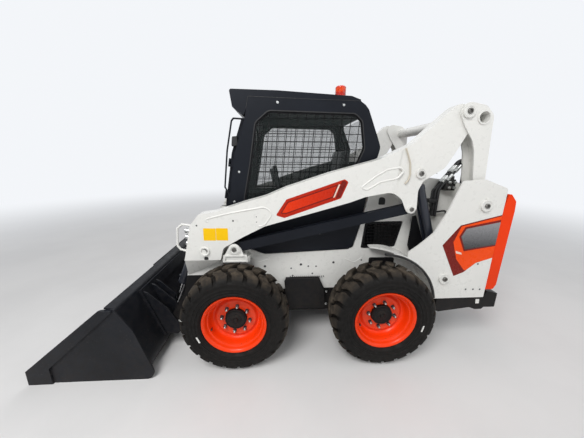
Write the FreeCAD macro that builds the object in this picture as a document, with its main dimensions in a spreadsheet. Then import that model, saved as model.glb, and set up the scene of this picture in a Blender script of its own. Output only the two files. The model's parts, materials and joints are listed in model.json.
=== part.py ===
"""Skid steer loader with a vertical lift path, as a parametric assembly.

Millimetres. +X points to the bucket, +Y to the machine's left, +Z up, and the
ground is Z = 0. The origin is on the ground, midway along and across the machine.
Side outlines are drawn as (x, z, corner radius), with x measured from the rear axle.
"""
import FreeCAD, Part
import math
import os

SIZES = (
    # alias, value, what it is
    ("rear_axle_x", -745, "rear axle, from the middle of the machine's length"),
    ("wheel_base", 1082, "rear axle to front axle"),
    ("axle_height", 387, "wheel centre above ground, the radius at the lugs' tips"),
    ("track_half", 675, "machine's middle to a tyre's middle"),
    ("tyre_width", 264, "over the shoulders"),
    ("tread_radius", 358, "tyre's carcass under the lugs"),
    ("lug_count", 18, "lugs in each of a tyre's two rows"),
    ("lug_width", 50, "lug, round the tyre, at its foot"),
    ("bead_radius", 209, "rim's barrel, where the tyre sits"),
    ("rim_half_width", 116, "rim's middle to its flange"),
    ("rim_flange_radius", 226, "rim's flange"),
    ("disc_offset", 27, "rim's middle to the disc's outer face"),
    ("disc_thickness", 10, "wheel disc"),
    ("bolt_circle_radius", 101.6, "wheel studs, eight on a 203.2 mm circle"),
    ("stud_hole_radius", 9, "hole for a wheel stud"),
    ("hub_radius", 77, "hub's outer boss"),
    ("hub_flange_radius", 125, "hub's flange behind the disc"),
    ("shaft_radius", 40, "axle shaft"),
    ("axle_tube_radius", 62, "axle housing"),
    ("fit_gap", 0.3, "between a shaft and its bore"),
    ("plate", 12, "main frame plate"),
    ("thin_plate", 10, "fender, tailgate and bucket plate"),
    ("side_outer", 440, "machine's middle to the outer face of its side walls"),
    ("side_bottom", 255, "belly above ground"),
    ("frame_front", 1235, "front of the frame, from the rear axle"),
    ("frame_rear", -840, "back of the frame's side walls"),
    ("tower_outer", 632, "machine's middle to the upright's outer face"),
    ("tower_rear", -850, "back edge of the upright"),
    ("fender_radius", 448, "inside of the rear fender, about the rear axle"),
    ("bumper_rear", -1000, "back of the rear bumper"),
    ("tailgate_rear", -953, "outer face of the tailgate"),
    ("tailgate_half", 618, "half the tailgate's width"),
    ("tailgate_bottom", 520, "tailgate's lower edge"),
    ("tailgate_top", 1277, "tailgate's upper edge"),
    ("front_pivot_x", 1088, "front link's lower pin"),
    ("front_pivot_z", 880, "front link's lower pin"),
    ("arm_lug_x", -191, "front link's upper pin in the arm's lug"),
    ("arm_lug_z", 1167, "front link's upper pin"),
    ("lift_pin_x", -224, "lift cylinder's rod pin"),
    ("lift_pin_z", 1422, "lift cylinder's rod pin"),
    ("link_top_x", -483, "rear link's upper pin"),
    ("link_top_z", 1823, "rear link's upper pin"),
    ("link_foot_x", -710, "rear link's lower pin in the upright"),
    ("link_foot_z", 1199, "rear link's lower pin"),
    ("lift_base_x", -496, "lift cylinder's base pin in the upright"),
    ("lift_base_z", 632, "lift cylinder's base pin"),
    ("coupler_x", 1600, "attachment frame's pivot at the arm's foot"),
    ("coupler_z", 190, "attachment frame's pivot"),
    ("tilt_base_x", 1380, "tilt cylinder's base pin"),
    ("tilt_base_z", 980, "tilt cylinder's base pin"),
    ("tilt_pin_x", 1654, "tilt cylinder's rod pin"),
    ("tilt_pin_z", 313, "tilt cylinder's rod pin"),
    ("cross_tube_x", 1318, "tube between the arms"),
    ("cross_tube_z", 856, "tube between the arms"),
    ("cross_tube_radius", 57, "tube between the arms"),
    ("torsion_tube_x", -597, "tube between the rear links"),
    ("torsion_tube_z", 1788, "tube between the rear links"),
    ("torsion_tube_radius", 45, "tube between the rear links"),
    ("torsion_tube_wall", 9, "tube between the rear links"),
    ("arm_outer", 600, "machine's middle to the arm's outer face"),
    ("arm_width", 100, "arm's box section"),
    ("wedge_outer", 588, "outer face of the arm's rear wedge"),
    ("wedge_width", 84, "arm's rear wedge"),
    ("wedge_plate", 7, "side plates of the wedge"),
    ("leg_outer", 535, "outer face of the arm's lower leg"),
    ("leg_width", 95, "arm's lower leg"),
    ("rear_link_outer", 602, "outer face of the rear link"),
    ("rear_link_width", 114, "rear link"),
    ("lift_plane", 546, "middle of the lift cylinder and the front link"),
    ("eye_width", 50, "eyes of the lift cylinder and the front link"),
    ("front_link_height", 72, "front link's bar"),
    ("pin_radius", 24, "main pivot pins"),
    ("boss_radius", 42, "round bosses at the main pins"),
    ("boss_height", 13, "boss above its plate"),
    ("lift_barrel_radius", 30, "lift cylinder"),
    ("lift_rod_radius", 19, "lift cylinder's rod"),
    ("lift_barrel_length", 745, "lift cylinder, pin to mouth"),
    ("lift_rod_length", 690, "lift cylinder's rod, pin to piston"),
    ("tilt_plane", 392, "middle of the tilt cylinder"),
    ("tilt_eye_width", 40, "tilt cylinder's eyes"),
    ("tilt_barrel_radius", 34, "tilt cylinder"),
    ("tilt_rod_radius", 20, "tilt cylinder's rod"),
    ("tilt_barrel_length", 500, "tilt cylinder, pin to mouth"),
    ("tilt_rod_length", 515, "tilt cylinder's rod, pin to piston"),
    ("ear_gap", 9, "between an eye and its ears"),
    ("coupler_half", 565, "half the attachment frame's width"),
    ("coupler_thickness", 20, "attachment frame's plate"),
    ("bucket_half", 838, "half the bucket's width"),
    ("bucket_tip", 2490, "cutting edge, from the rear axle"),
    ("bucket_heel_x", 1640, "heel corner, from the rear axle"),
    ("bucket_top_x", 1838, "top lip, from the rear axle"),
    ("bucket_height", 566, "top lip above ground"),
    ("bucket_heel_radius", 110, "bend between the floor and the back"),
    ("edge_depth", 140, "cutting edge, front to back"),
    ("edge_thickness", 20, "cutting edge"),
    ("cab_roof_top", 1971, "roof's front above ground"),
    ("cab_front_low", 1150, "foot of the cab's front edge"),
    ("cab_pivot_x", 20, "hinge at the back of the cab"),
    ("cab_pivot_z", 1440, "hinge at the back of the cab"),
    ("cab_pin_radius", 10, "cab's rear hinge pins"),
    ("deck_height", 1005, "cab's seat deck"),
    ("glass", 6, "cab glass"),
    ("panel_gap", 6, "between the cab and the frame"),
    ("door_half", 385, "half the front door's width"),
    ("door_thickness", 25, "front door"),
    ("door_bottom", 1032, "front door's lower edge"),
    ("beacon_radius", 40, "beacon"),
    ("hinge_pin_radius", 5, "pins of the door's and the tailgate's hinges"),
    ("hinge_knuckle_radius", 9, "knuckles round those pins"),
    ("hinge_length", 60, "hinge, over its fixed knuckles"),
    ("hinge_eye_length", 32, "hinge's swinging knuckle"),
    ("gate_hinge_x", -862, "tailgate's hinge line"),
    ("gate_hinge_y", 634, "tailgate's hinge line"),
    ("door_hinge_ahead", 35, "door's hinge line, ahead of the cab's front edge"),
    ("door_hinge_y", 397, "door's hinge line"),
)

doc = FreeCAD.newDocument("skid_steer_loader")
sheet = doc.addObject("Spreadsheet::Sheet", "sizes")
for row, (alias, value, meaning) in enumerate(SIZES, start=1):
    sheet.set("A%d" % row, meaning)
    sheet.set("B%d" % row, str(value))
    sheet.setAlias("B%d" % row, alias)
doc.recompute()

NODES = []


def size(alias):
    return float(sheet.get(alias))


def pivot(name):
    """A pin's place in the side view: x from the rear axle, and height."""
    return size(name + "_x"), size(name + "_z")


def node(part, label):
    """Name a sub-part that is written out."""
    part.Label = label
    NODES.append(part)
    return part


# Outlines


def polar(centre, radius, degrees):
    angle = math.radians(degrees)
    return centre[0] + radius * math.cos(angle), centre[1] + radius * math.sin(angle)


def arc_corners(centre, radius, start, end):
    """Three corners whose middle one, rounded, is an arc about the centre."""
    half = (end - start) / 2
    meet = polar(centre, radius / math.cos(math.radians(half)), start + half)
    first = polar(centre, radius, start)
    last = polar(centre, radius, end)
    return [(*first, 0), (*meet, radius), (*last, 0)]


def shifted(points, thickness):
    """A polyline moved to its left by a thickness, its corners mitred."""
    moved = []
    for i, (x, z) in enumerate(points):
        sides = []
        for a, b in ((i - 1, i), (i, i + 1)):
            if a >= 0 and b < len(points):
                dx, dz = points[b][0] - points[a][0], points[b][1] - points[a][1]
                length = math.hypot(dx, dz)
                sides.append((-dz / length, dx / length))
        nx = sum(n[0] for n in sides) / len(sides)
        nz = sum(n[1] for n in sides) / len(sides)
        stretch = thickness / (nx * nx + nz * nz)
        moved.append((x + nx * stretch, z + nz * stretch))
    return moved


def strip(path, thickness):
    """Outline of a bent plate: the path's (x, z, radius) side and its left side."""
    points = [(x, z) for x, z, radius in path]
    other = shifted(points, thickness)
    outline = [(*points[0], 0)] + list(path[1:-1]) + [(*points[-1], 0)]
    for i in range(len(path) - 1, -1, -1):
        radius = path[i][2] if 0 < i < len(path) - 1 else 0
        if radius > 0:
            ax, az = points[i][0] - points[i - 1][0], points[i][1] - points[i - 1][1]
            bx, bz = points[i + 1][0] - points[i][0], points[i + 1][1] - points[i][1]
            left_turn = ax * bz - az * bx > 0
            radius = max(radius - thickness if left_turn else radius + thickness, 0)
        outline.append((*other[i], radius))
    return outline


def edges_of(corners):
    """Lines and arcs of a closed outline of (x, z, radius) corners."""
    runs = []
    for i, (x, z, radius) in enumerate(corners):
        here = FreeCAD.Vector(x, z, 0)
        before = FreeCAD.Vector(*corners[i - 1][:2], 0) - here
        after = FreeCAD.Vector(*corners[(i + 1) % len(corners)][:2], 0) - here
        half = before.getAngle(after) / 2
        straight = math.pi / 2 - half < 1e-4
        if radius <= 0 or straight:
            runs.append((here, None, here))
            continue
        before.normalize()
        after.normalize()
        middle = before + after
        middle.normalize()
        reach = radius / math.tan(half)
        nearest = here + middle * (radius / math.sin(half) - radius)
        runs.append((here + before * reach, nearest, here + after * reach))
    edges = []
    for i, (start, middle, end) in enumerate(runs):
        if middle is not None:
            edges.append(Part.Arc(start, middle, end))
        following = runs[(i + 1) % len(runs)][0]
        if end.distanceToPoint(following) > 1e-6:
            edges.append(Part.LineSegment(end, following))
    return edges


def ring(centre, radius):
    return Part.Circle(FreeCAD.Vector(*centre, 0), FreeCAD.Vector(0, 0, 1), radius)


# Sketched bodies


def start_body(name):
    return doc.addObject("PartDesign::Body", name)


def sketch_on(body, role, outlines, circles=(), offset="0"):
    """A sketch on one of the body's own origin planes."""
    plane = next(f for f in body.Origin.OriginFeatures if f.Role == role)
    sketch = body.newObject("Sketcher::SketchObject", body.Name + "_sketch")
    sketch.AttachmentSupport = [(plane, "")]
    sketch.MapMode = "FlatFace"
    sketch.setExpression("AttachmentOffset.Base.z", offset)
    for outline in outlines:
        for edge in edges_of(outline):
            sketch.addGeometry(edge, False)
    for centre, radius in circles:
        sketch.addGeometry(ring(centre, radius), False)
    return sketch


def extrude(body, kind, sketch, length, reverse=False, midplane=False):
    feature = body.newObject("PartDesign::" + kind, body.Name + "_" + kind.lower())
    feature.Profile = sketch
    feature.setExpression("Length", length)
    feature.Reversed = reverse
    feature.Midplane = midplane
    return feature


def cut_volume(body, feature):
    """Stop if a cut took nothing away."""
    doc.recompute()
    if feature.Shape.Volume >= feature.BaseFeature.Shape.Volume - 1:
        raise ValueError("nothing cut by " + feature.Name)


def side_plate(name, outlines, outer, width, circles=()):
    """A piece drawn in the side view, from its outer face inwards by its width."""
    body = start_body(name)
    sketch = sketch_on(body, "XZ_Plane", outlines, circles)
    extrude(body, "Pad", sketch, width)
    body.setExpression("Placement.Base.x", "sizes.rear_axle_x")
    body.setExpression("Placement.Base.y", outer)
    return body


def side_cut(body, outlines, depth_from, depth, circles=()):
    """Cut a side plate from one depth under its outer face."""
    sketch = sketch_on(body, "XZ_Plane", outlines, circles, depth_from)
    pocket = extrude(body, "Pocket", sketch, depth, reverse=True)
    cut_volume(body, pocket)


def side_add(body, outlines, depth_from, depth, circles=()):
    """Add to a side plate from one depth under its outer face."""
    sketch = sketch_on(body, "XZ_Plane", outlines, circles, depth_from)
    extrude(body, "Pad", sketch, depth)


def across(name, outlines, width, circles=()):
    """A piece drawn in the side view that lies evenly across the machine."""
    body = start_body(name)
    sketch = sketch_on(body, "XZ_Plane", outlines, circles)
    extrude(body, "Pad", sketch, width, midplane=True)
    body.setExpression("Placement.Base.x", "sizes.rear_axle_x")
    return body


def cut_through(body, role, outlines, circles=()):
    """Cut right through a body, both ways from one of its origin planes."""
    sketch = sketch_on(body, role, outlines, circles)
    pocket = extrude(body, "Pocket", sketch, "8000", midplane=True)
    cut_volume(body, pocket)


def mirrored(source, name=None):
    copy = doc.addObject("Part::Mirroring", name or source.Name + "_right")
    copy.Source = source
    copy.Normal = FreeCAD.Vector(0, 1, 0)
    return copy


def together(name, parts):
    group = doc.addObject("Part::Compound", name)
    group.Links = parts
    return group


def pair(source, label):
    """A piece on the left and its mirror image on the right, as one node."""
    return node(together(label, [source, mirrored(source)]), label)


def fused(name, parts):
    union = doc.addObject("Part::MultiFuse", name)
    union.Shapes = parts
    return union


def less(name, base, tool):
    cut = doc.addObject("Part::Cut", name)
    cut.Base = base
    cut.Tool = tool
    return cut


# Round pieces


def rod_between(name, start, end, radius):
    """A cylinder from one point to another, each (x from the rear axle, y, z)."""
    cylinder = doc.addObject("Part::Cylinder", name)
    base = FreeCAD.Vector(start[0] + size("rear_axle_x"), start[1], start[2])
    tip = FreeCAD.Vector(end[0] + size("rear_axle_x"), end[1], end[2])
    cylinder.setExpression("Radius", radius)
    cylinder.Height = base.distanceToPoint(tip)
    turn = FreeCAD.Rotation(FreeCAD.Vector(0, 0, 1), tip - base)
    cylinder.Placement = FreeCAD.Placement(base, turn)
    return cylinder


def cross_rod(name, centre, inner, outer, radius):
    """A cylinder across the machine, between two distances from its middle."""
    return rod_between(name, (centre[0], inner, centre[1]), (centre[0], outer, centre[1]), radius)


def toward(start, end, distance):
    """A point at a distance from one side-view point along the line to another."""
    length = math.dist(start, end)
    return tuple(a + (b - a) * distance / length for a, b in zip(start, end))


# Wheels

def wheel_profile(name, profile):
    """A body turned about the wheel's axis from a (y, radius, corner) outline."""
    body = start_body(name)
    sketch = sketch_on(body, "YZ_Plane", [profile])
    turned = body.newObject("PartDesign::Revolution", name + "_turned")
    turned.Profile = sketch
    turned.ReferenceAxis = (sketch, ["H_Axis"])
    turned.Angle = 360
    return body


def lug_row(body, side):
    """One row of slanting lugs, each wider at its foot, repeated round the tyre."""
    foot = size("tread_radius") - 12
    shoulder = size("tyre_width") / 2
    slant = size("lug_width") * 1.1
    # y, shift round the tyre, half width
    low = ((0.03, 0, 0.5), (1.0, 1, 0.5))
    high = ((0.06, 0, 0.34), (0.93, 1, 0.36))
    sketches = []
    for level, ends in ((foot, low), (size("axle_height"), high)):
        quad = []
        for share, shift, half in ends:
            middle = slant * (shift - 0.5)
            y = side * share * shoulder
            reach = half * size("lug_width")
            quad.append(((middle - reach, y, 0), (middle + reach, y, 0)))
        outline = [quad[0][0], quad[0][1], quad[1][1], quad[1][0]]
        sketches.append(sketch_on(body, "XY_Plane", [outline], offset=str(level)))
    lug = body.newObject("PartDesign::AdditiveLoft", body.Name + "_lug")
    lug.Profile = sketches[0]
    lug.Sections = [sketches[1]]
    lug.Ruled = True
    repeat = body.newObject("PartDesign::PolarPattern", body.Name + "_lugs")
    repeat.Originals = [lug]
    axis = next(f for f in body.Origin.OriginFeatures if f.Role == "Y_Axis")
    repeat.Axis = (axis, [""])
    repeat.Angle = 360
    repeat.setExpression("Occurrences", "sizes.lug_count")
    body.Tip = repeat


def make_tyre():
    half = size("tyre_width") / 2
    bead = size("bead_radius") + size("fit_gap")
    seat = size("rim_half_width") - 8 - size("fit_gap")
    tread = size("tread_radius")
    # y, radius, corner
    lip = size("rim_flange_radius") + 2
    profile = [(-seat, bead, 0), (-seat, lip, 0), (-half, lip + 45, 40), (-half, tread - 45, 0),
               (-half + 30, tread, 0), (half - 30, tread, 0), (half, tread - 45, 0),
               (half, lip + 45, 40), (seat, lip, 0), (seat, bead, 0)]
    body = wheel_profile("tyre", profile)
    lug_row(body, 1)
    lug_row(body, -1)
    return body


def make_rim():
    """Barrel with flanges and a dished disc, as one turned piece."""
    half = size("rim_half_width")
    seat = size("bead_radius")
    flange = size("rim_flange_radius")
    face = size("disc_offset")
    back = face - size("disc_thickness")
    hole = size("hub_radius") + 1
    inner = seat - 9
    # y, radius, corner
    profile = [(-half, flange, 0), (-half + 8, flange, 0), (-half + 8, seat, 0),
               (half - 8, seat, 0), (half - 8, flange, 0), (half, flange, 0),
               (half - 4, inner + 6, 0), (face + 62, inner, 0), (face + 34, inner - 36, 20),
               (face, inner - 58, 20), (face, hole, 0), (back, hole, 0),
               (back, inner - 62, 20), (face + 20, inner - 40, 20), (face + 20, inner, 0),
               (-half + 4, inner, 0)]
    body = wheel_profile("rim", profile)
    circle = size("bolt_circle_radius")
    holes = [(polar((0, 0), circle, 45 * k), size("stud_hole_radius")) for k in range(8)]
    cut_through(body, "XZ_Plane", [], holes)
    return body


def make_hub():
    """Shaft, flange behind the disc, and the boss that stands through it."""
    face = size("disc_offset")
    back = face - size("disc_thickness")
    tube_end = size("track_half") - back + 14 - size("side_outer")
    # y, radius, corner
    profile = [(back - 12 - tube_end, 0, 0), (back - 12 - tube_end, size("shaft_radius"), 0),
               (back - 12, size("shaft_radius"), 0), (back - 12, size("hub_flange_radius"), 0),
               (back, size("hub_flange_radius"), 0), (back, size("hub_radius"), 0),
               (face + 20, size("hub_radius"), 8), (face + 20, 0, 0)]
    return wheel_profile("hub", profile)


def place_wheels():
    for kind, make in (("tyre", make_tyre), ("rim", make_rim), ("hub", make_hub)):
        left = make()
        right = mirrored(left)
        # corner, source, axle, side
        for corner, source, axle, side in (
                ("front_left", left, "sizes.wheel_base", "1"),
                ("front_right", right, "sizes.wheel_base", "-1"),
                ("rear_left", left, "0", "1"),
                ("rear_right", right, "0", "-1")):
            copy = together(kind + "_" + corner, [source])
            copy.setExpression("Placement.Base.x", "sizes.rear_axle_x + " + axle)
            copy.setExpression("Placement.Base.y", side + " * sizes.track_half")
            copy.setExpression("Placement.Base.z", "sizes.axle_height")
            node(copy, kind + "_" + corner)


def make_axle_housings():
    """Flanged housings bolted to the side walls, bored for the shafts."""
    back = size("track_half") + size("disc_offset") - size("disc_thickness") - 12
    tubes = []
    for k, x in enumerate((0, size("wheel_base"))):
        centre = (x, size("axle_height"))
        wall = size("side_outer")
        tube = cross_rod("axle_tube", centre, wall, back - 6, "sizes.axle_tube_radius")
        collar = cross_rod("axle_collar", centre, wall, wall + 18, "sizes.axle_tube_radius + 40")
        bore = cross_rod("axle_bore", centre, wall, back, "sizes.shaft_radius + sizes.fit_gap")
        tubes.append(less("axle_housing", fused("axle_body", [tube, collar]), bore))
    node(together("axle_housings", tubes + [mirrored(t) for t in tubes]), "axle_housings")


# Frame

# The frame's upper edge in front of the engine bay, which the cab's lower edge follows
SILL = ((1235, 850, 0), (1040, 835, 60), (883, 772, 60), (205, 803, 0), (165, 822, 20),
        (118, 1008, 0), (54, 1390, 0))
# The upper edge of the engine bay, front to back
BAY_TOP = ((54, 1390, 0), (-150, 1404, 80), (-515, 1365, 80), (-840, 1300, 0))
GRILLE = ((82, 1035, 12), (104, 811, 12), (-180, 822, 12), (-226, 1040, 12))


def make_frame_sides():
    bottom = size("side_bottom")
    front, rear = size("frame_front"), size("frame_rear")
    outline = [(rear, 330, 0), (-700, bottom, 60), (1150, bottom, 60), (front, 300, 30)]
    outline += [(front, 850, 0)] + list(SILL[1:-1]) + [(54, 1390, 10)]
    outline = outline[:-1]
    x, z = pivot("cab_pivot")
    outline += [(x + 24, BAY_TOP[0][1], 0), (x + 24, z + 24, 22), (x - 24, z + 24, 22),
                (x - 40, BAY_TOP[0][1] + 6, 20)]
    outline += list(BAY_TOP[1:-1]) + [(rear, 1300, 0)]
    side = side_plate("frame_side", [outline, list(GRILLE)], "sizes.side_outer", "sizes.plate")
    pair(side, "frame_sides")


def make_belly_pan():
    """Bent plate that closes the frame below and in front."""
    bottom, front, plate = size("side_bottom"), size("frame_front"), size("plate")
    path = [(size("frame_rear"), 330, 0), (-700, bottom, 60), (1150, bottom, 60),
            (front, 300, 30), (front, 850, 0)]
    belly = across("belly_pan", [strip(path, plate)], "2 * (sizes.side_outer - sizes.plate)")
    node(belly, "belly_pan")


def make_footwell():
    """Firewall and floor in front of the seat."""
    path = [(size("frame_front") - size("plate"), 560, 0), (110, 560, 20), (110, 790, 0)]
    floor = across("footwell", [strip(path, -8)], "2 * (sizes.side_outer - sizes.plate)")
    node(floor, "footwell")


def make_hood():
    """Top screen over the engine bay, slotted."""
    path = [(50, BAY_TOP[0][1], 0)] + list(BAY_TOP[1:-1]) + [(size("frame_rear"), 1300, 0)]
    hood = across("engine_hood", [strip(path, 10)], "2 * (sizes.side_outer - sizes.plate)")
    slots = []
    for k in range(9):
        x = -300 - 44 * k
        slots.append([(x, -330, 9), (x + 20, -330, 9), (x + 20, 330, 9), (x, 330, 9)])
    cut_through(hood, "XY_Plane", slots)
    node(hood, "engine_hood")


def make_towers():
    arch = arc_corners((0, size("axle_height")), size("fender_radius"), 115, 171)
    rear = size("tower_rear")
    # Front edge from the arch up, the sloping top, the back edge
    outline = arch[::-1] + [(-190, 850, 8), (-261, 904, 60), (-362, 998, 90), (-438, 1157, 90),
                            (-515, 1373, 25), (-668, 1385, 60), (rear, 1321, 25), (rear, 460, 0)]
    plate = side_plate("tower_plate", [outline], "sizes.tower_outer", "sizes.plate")
    pair(plate, "tower_plates")
    path = [(rear, 1100, 0), (rear, 460, 0), (-size("fender_radius") - 20, 460, 0)]
    web = side_plate("tower_web", [strip(path, size("plate"))],
                     "sizes.tower_outer - sizes.plate",
                     "sizes.tower_outer - sizes.plate - sizes.side_outer")
    pair(web, "tower_webs")


def make_fenders():
    """Curved plates over the rear tyres' backs, narrower towards the front."""
    axle = (0, size("axle_height"))
    inner = size("fender_radius")
    outline = arc_corners(axle, inner, 84, 170.5)
    outline += arc_corners(axle, inner + size("thin_plate"), 84, 170.5)[::-1]
    fender = side_plate("fender", [outline], "sizes.tower_outer - sizes.plate",
                        "sizes.tower_outer - sizes.plate - sizes.side_outer")
    wide = size("tower_outer") - size("plate") - size("side_outer")
    cut_through(fender, "XY_Plane", [[(-190, 1, 0), (90, 1, 0), (90, 30 - wide, 0)]])
    pair(fender, "rear_fenders")


def make_bumper():
    rear = size("bumper_rear")
    outline = [(-480, 460, 0), (-868, 460, 0), (-884, 502, 10), (-940, 492, 15), (rear, 470, 20),
               (rear, 402, 15), (rear + 22, 360, 15), (-884, 360, 0), (-868, 343, 10),
               (-813, 343, 10), (-762, 362, 20), (-508, 330, 0), (-480, 342, 0)]
    bumper = across("rear_bumper", [outline], "2 * (sizes.tower_outer - sizes.plate)")
    inside, outside = size("side_outer"), size("tower_outer") - size("plate")
    cut_through(bumper, "XY_Plane", [[(-862, -inside, 0), (-400, -inside, 0),
                                      (-400, inside, 0), (-862, inside, 0)]])
    bevels = [[(rear + 26, side * (outside + 1), 0), (rear - 1, side * (outside - 32), 0),
               (rear - 1, side * (outside + 1), 0)] for side in (1, -1)]
    cut_through(bumper, "XY_Plane", bevels)
    node(bumper, "rear_bumper")


def make_steps():
    """Bent step between the wheels, on a long skirt that covers the side wall's foot."""
    wall, skirt_bottom = size("side_outer"), size("side_bottom") + 2
    body = start_body("side_step")
    path = [(wall, 566, 0), (wall + 20, 566, 15), (wall + 64, 345, 15), (wall + 64, 310, 10),
            (wall, 310, 0)]
    sketch = sketch_on(body, "YZ_Plane", [strip(path, -8)], offset="344")
    extrude(body, "Pad", sketch, "381")
    trim = [[(300, 600, 0), (300, 240, 0), (392, 262, 0), (395, 475, 20), (454, 600, 0)],
            [(690, 600, 0), (725, 540, 0), (700, 262, 0), (690, 240, 0), (760, 240, 0), (760, 600, 0)]]
    cut_through(body, "XZ_Plane", trim)
    body.setExpression("Placement.Base.x", "sizes.rear_axle_x")
    skirt = side_plate("skirt", [[(200, skirt_bottom, 0), (200, 461, 12), (860, 461, 12),
                                  (860, skirt_bottom, 0)]], str(wall + 4), "4")
    pair(fused("stepped_skirt", [body, skirt]), "side_steps")


def make_front_brackets():
    """Forked stands over the front tyres that hold the front links' lower pins."""
    pin = pivot("front_pivot")
    boss = size("boss_radius")
    eye_outer = size("lift_plane") + size("eye_width") / 2 + size("ear_gap")
    ear = 14
    outline = [(pin[0] - 78, 795, 0), (pin[0] + 92, 795, 0), (pin[0] + boss + 6, pin[1], 40),
               (pin[0], pin[1] + boss + 8, 40), (pin[0] - boss - 6, pin[1], 40)]
    body = side_plate("front_bracket", [outline], str(eye_outer + ear),
                      "%g - sizes.side_outer" % (eye_outer + ear))
    gap_height = pin[1] + boss + 40
    gap = [(pin[0] - 120, pin[1] - boss - 8, 0), (pin[0] + 120, pin[1] - boss - 8, 0),
           (pin[0] + 120, gap_height, 0), (pin[0] - 120, gap_height, 0)]
    side_cut(body, [gap], str(ear), "sizes.eye_width + 2 * sizes.ear_gap")
    side_cut(body, [gap], str(2 * ear + size("eye_width") + 2 * size("ear_gap")), "200")
    foot = [(pin[0] - 100, 750, 10), (pin[0] + 100, 750, 10), (pin[0] + 100, 797, 0),
            (pin[0] - 100, 797, 0)]
    side_add(body, [foot], str(eye_outer + ear - 538), "538 - sizes.side_outer")
    pair(body, "front_brackets")


def knuckle(name, at, along, low, high, radius):
    """Cylinder on a hinge's axis, between two distances along it."""
    ends = [tuple(at[i] + along[i] * t for i in range(3)) for t in (low, high)]
    return rod_between(name, ends[0], ends[1], radius)


def fixed_half(name, at, along, leaf):
    """Half of a hinge that holds its pin between two knuckles."""
    half = size("hinge_length") / 2
    eye = size("hinge_eye_length") / 2 + 1
    round_part = "sizes.hinge_knuckle_radius"
    pieces = [knuckle(name + "_low", at, along, -half, -eye, round_part),
              knuckle(name + "_high", at, along, eye, half, round_part),
              knuckle(name + "_pin", at, along, -half, half, "sizes.hinge_pin_radius"), leaf]
    return fused(name + "_fixed", pieces)


def swinging_half(name, at, along, leaf):
    """Half of a hinge that turns on the pin."""
    eye = size("hinge_eye_length") / 2
    barrel = knuckle(name + "_eye", at, along, -eye, eye, "sizes.hinge_knuckle_radius")
    bore = knuckle(name + "_bore", at, along, -2 * eye, 2 * eye,
                   "sizes.hinge_pin_radius + sizes.fit_gap")
    return less(name + "_swinging", fused(name + "_leaf", [barrel, leaf]), bore)


def gate_hinge_places():
    low, high = size("tailgate_bottom"), size("tailgate_top")
    return [(size("gate_hinge_x"), size("gate_hinge_y"), z) for z in (low + 130, high - 150)]


def fixed_gate_hinges():
    """Leaves on the right upright's outer face, each with two knuckles and a pin."""
    half = size("hinge_length") / 2
    eye = size("hinge_eye_length") / 2 + 1
    plate = size("tower_rear")
    halves = []
    for x, y, z in gate_hinge_places():
        outline = [(plate + 32, z - half, 8), (x, z - half, 0), (x, z - eye, 0), (plate + 1, z - eye, 0),
                   (plate + 1, z + eye, 0), (x, z + eye, 0), (x, z + half, 0), (plate + 32, z + half, 8)]
        leaf = side_plate("gate_leaf", [outline], "sizes.tower_outer + 6", "6")
        halves.append(mirrored(fixed_half("gate_hinge", (x, y, z), (0, 0, 1), leaf)))
    return halves


def swinging_gate_hinges():
    """Leaves on the tailgate's right side, each with the knuckle that turns."""
    eye = size("hinge_eye_length") / 2
    side = size("tailgate_half")
    halves = []
    for x, y, z in gate_hinge_places():
        leaf = start_body("gate_strap")
        outline = [(x - 48, side, 0), (x - 4, side, 0), (x + 5, y - 5, 0), (x, y + 8, 0),
                   (x - 10, y, 0), (x - 48, side + 6, 0)]
        sketch = sketch_on(leaf, "XY_Plane", [outline], offset=str(z - eye))
        extrude(leaf, "Pad", sketch, str(2 * eye))
        leaf.setExpression("Placement.Base.x", "sizes.rear_axle_x")
        halves.append(mirrored(swinging_half("gate_swing", (x, y, z), (0, 0, 1), leaf)))
    return halves


def make_frame_pins():
    """Pins and round bosses in the brackets and uprights, and the tailgate's fixed hinges."""
    inside = size("tower_outer") - size("plate")
    outside = size("tower_outer")
    boss = "sizes.boss_radius"
    pin = "sizes.pin_radius"
    ear = size("lift_plane") + size("eye_width") / 2 + size("ear_gap")
    inner_ear = size("lift_plane") - size("eye_width") / 2 - size("ear_gap")
    foot = pivot("link_foot")
    # name, pivot, from, to, radius
    table = (("link_boss", foot, outside, outside + size("boss_height"), boss),
             ("link_stub", foot, inside - 10, inside, boss),
             ("link_inner_stub", foot, size("side_outer"), size("rear_link_outer")
              - size("rear_link_width") - size("ear_gap"), boss),
             ("lift_base_boss", pivot("lift_base"), outside, outside + size("boss_height"), boss),
             ("lift_base_pin", pivot("lift_base"), size("side_outer"), inside, pin),
             ("front_pin", pivot("front_pivot"), inner_ear, ear, pin),
             ("front_boss", pivot("front_pivot"), ear + 14, ear + 24, boss),
             ("cab_pin", pivot("cab_pivot"), size("side_outer") - 40, size("side_outer")
              - size("plate"), "sizes.cab_pin_radius"))
    pieces = [cross_rod(name, centre, inner, outer, radius)
              for name, centre, inner, outer, radius in table]
    node(together("frame_pins", pieces + [mirrored(p) for p in pieces] + fixed_gate_hinges()),
         "frame_pins")


def make_engine():
    block = doc.addObject("Part::Box", "engine")
    block.Length, block.Width, block.Height = 560, 500, 620
    block.Placement.Base = FreeCAD.Vector(size("rear_axle_x") - 640, -250, 330)
    feet = doc.addObject("Part::Box", "engine_feet")
    feet.Length, feet.Width = 300, 2 * (size("side_outer") - size("plate"))
    feet.Height = 60
    feet.Placement.Base = FreeCAD.Vector(size("rear_axle_x") - 500, -feet.Width / 2, 300)
    node(fused("engine_block", [block, feet]), "engine_block")


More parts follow.
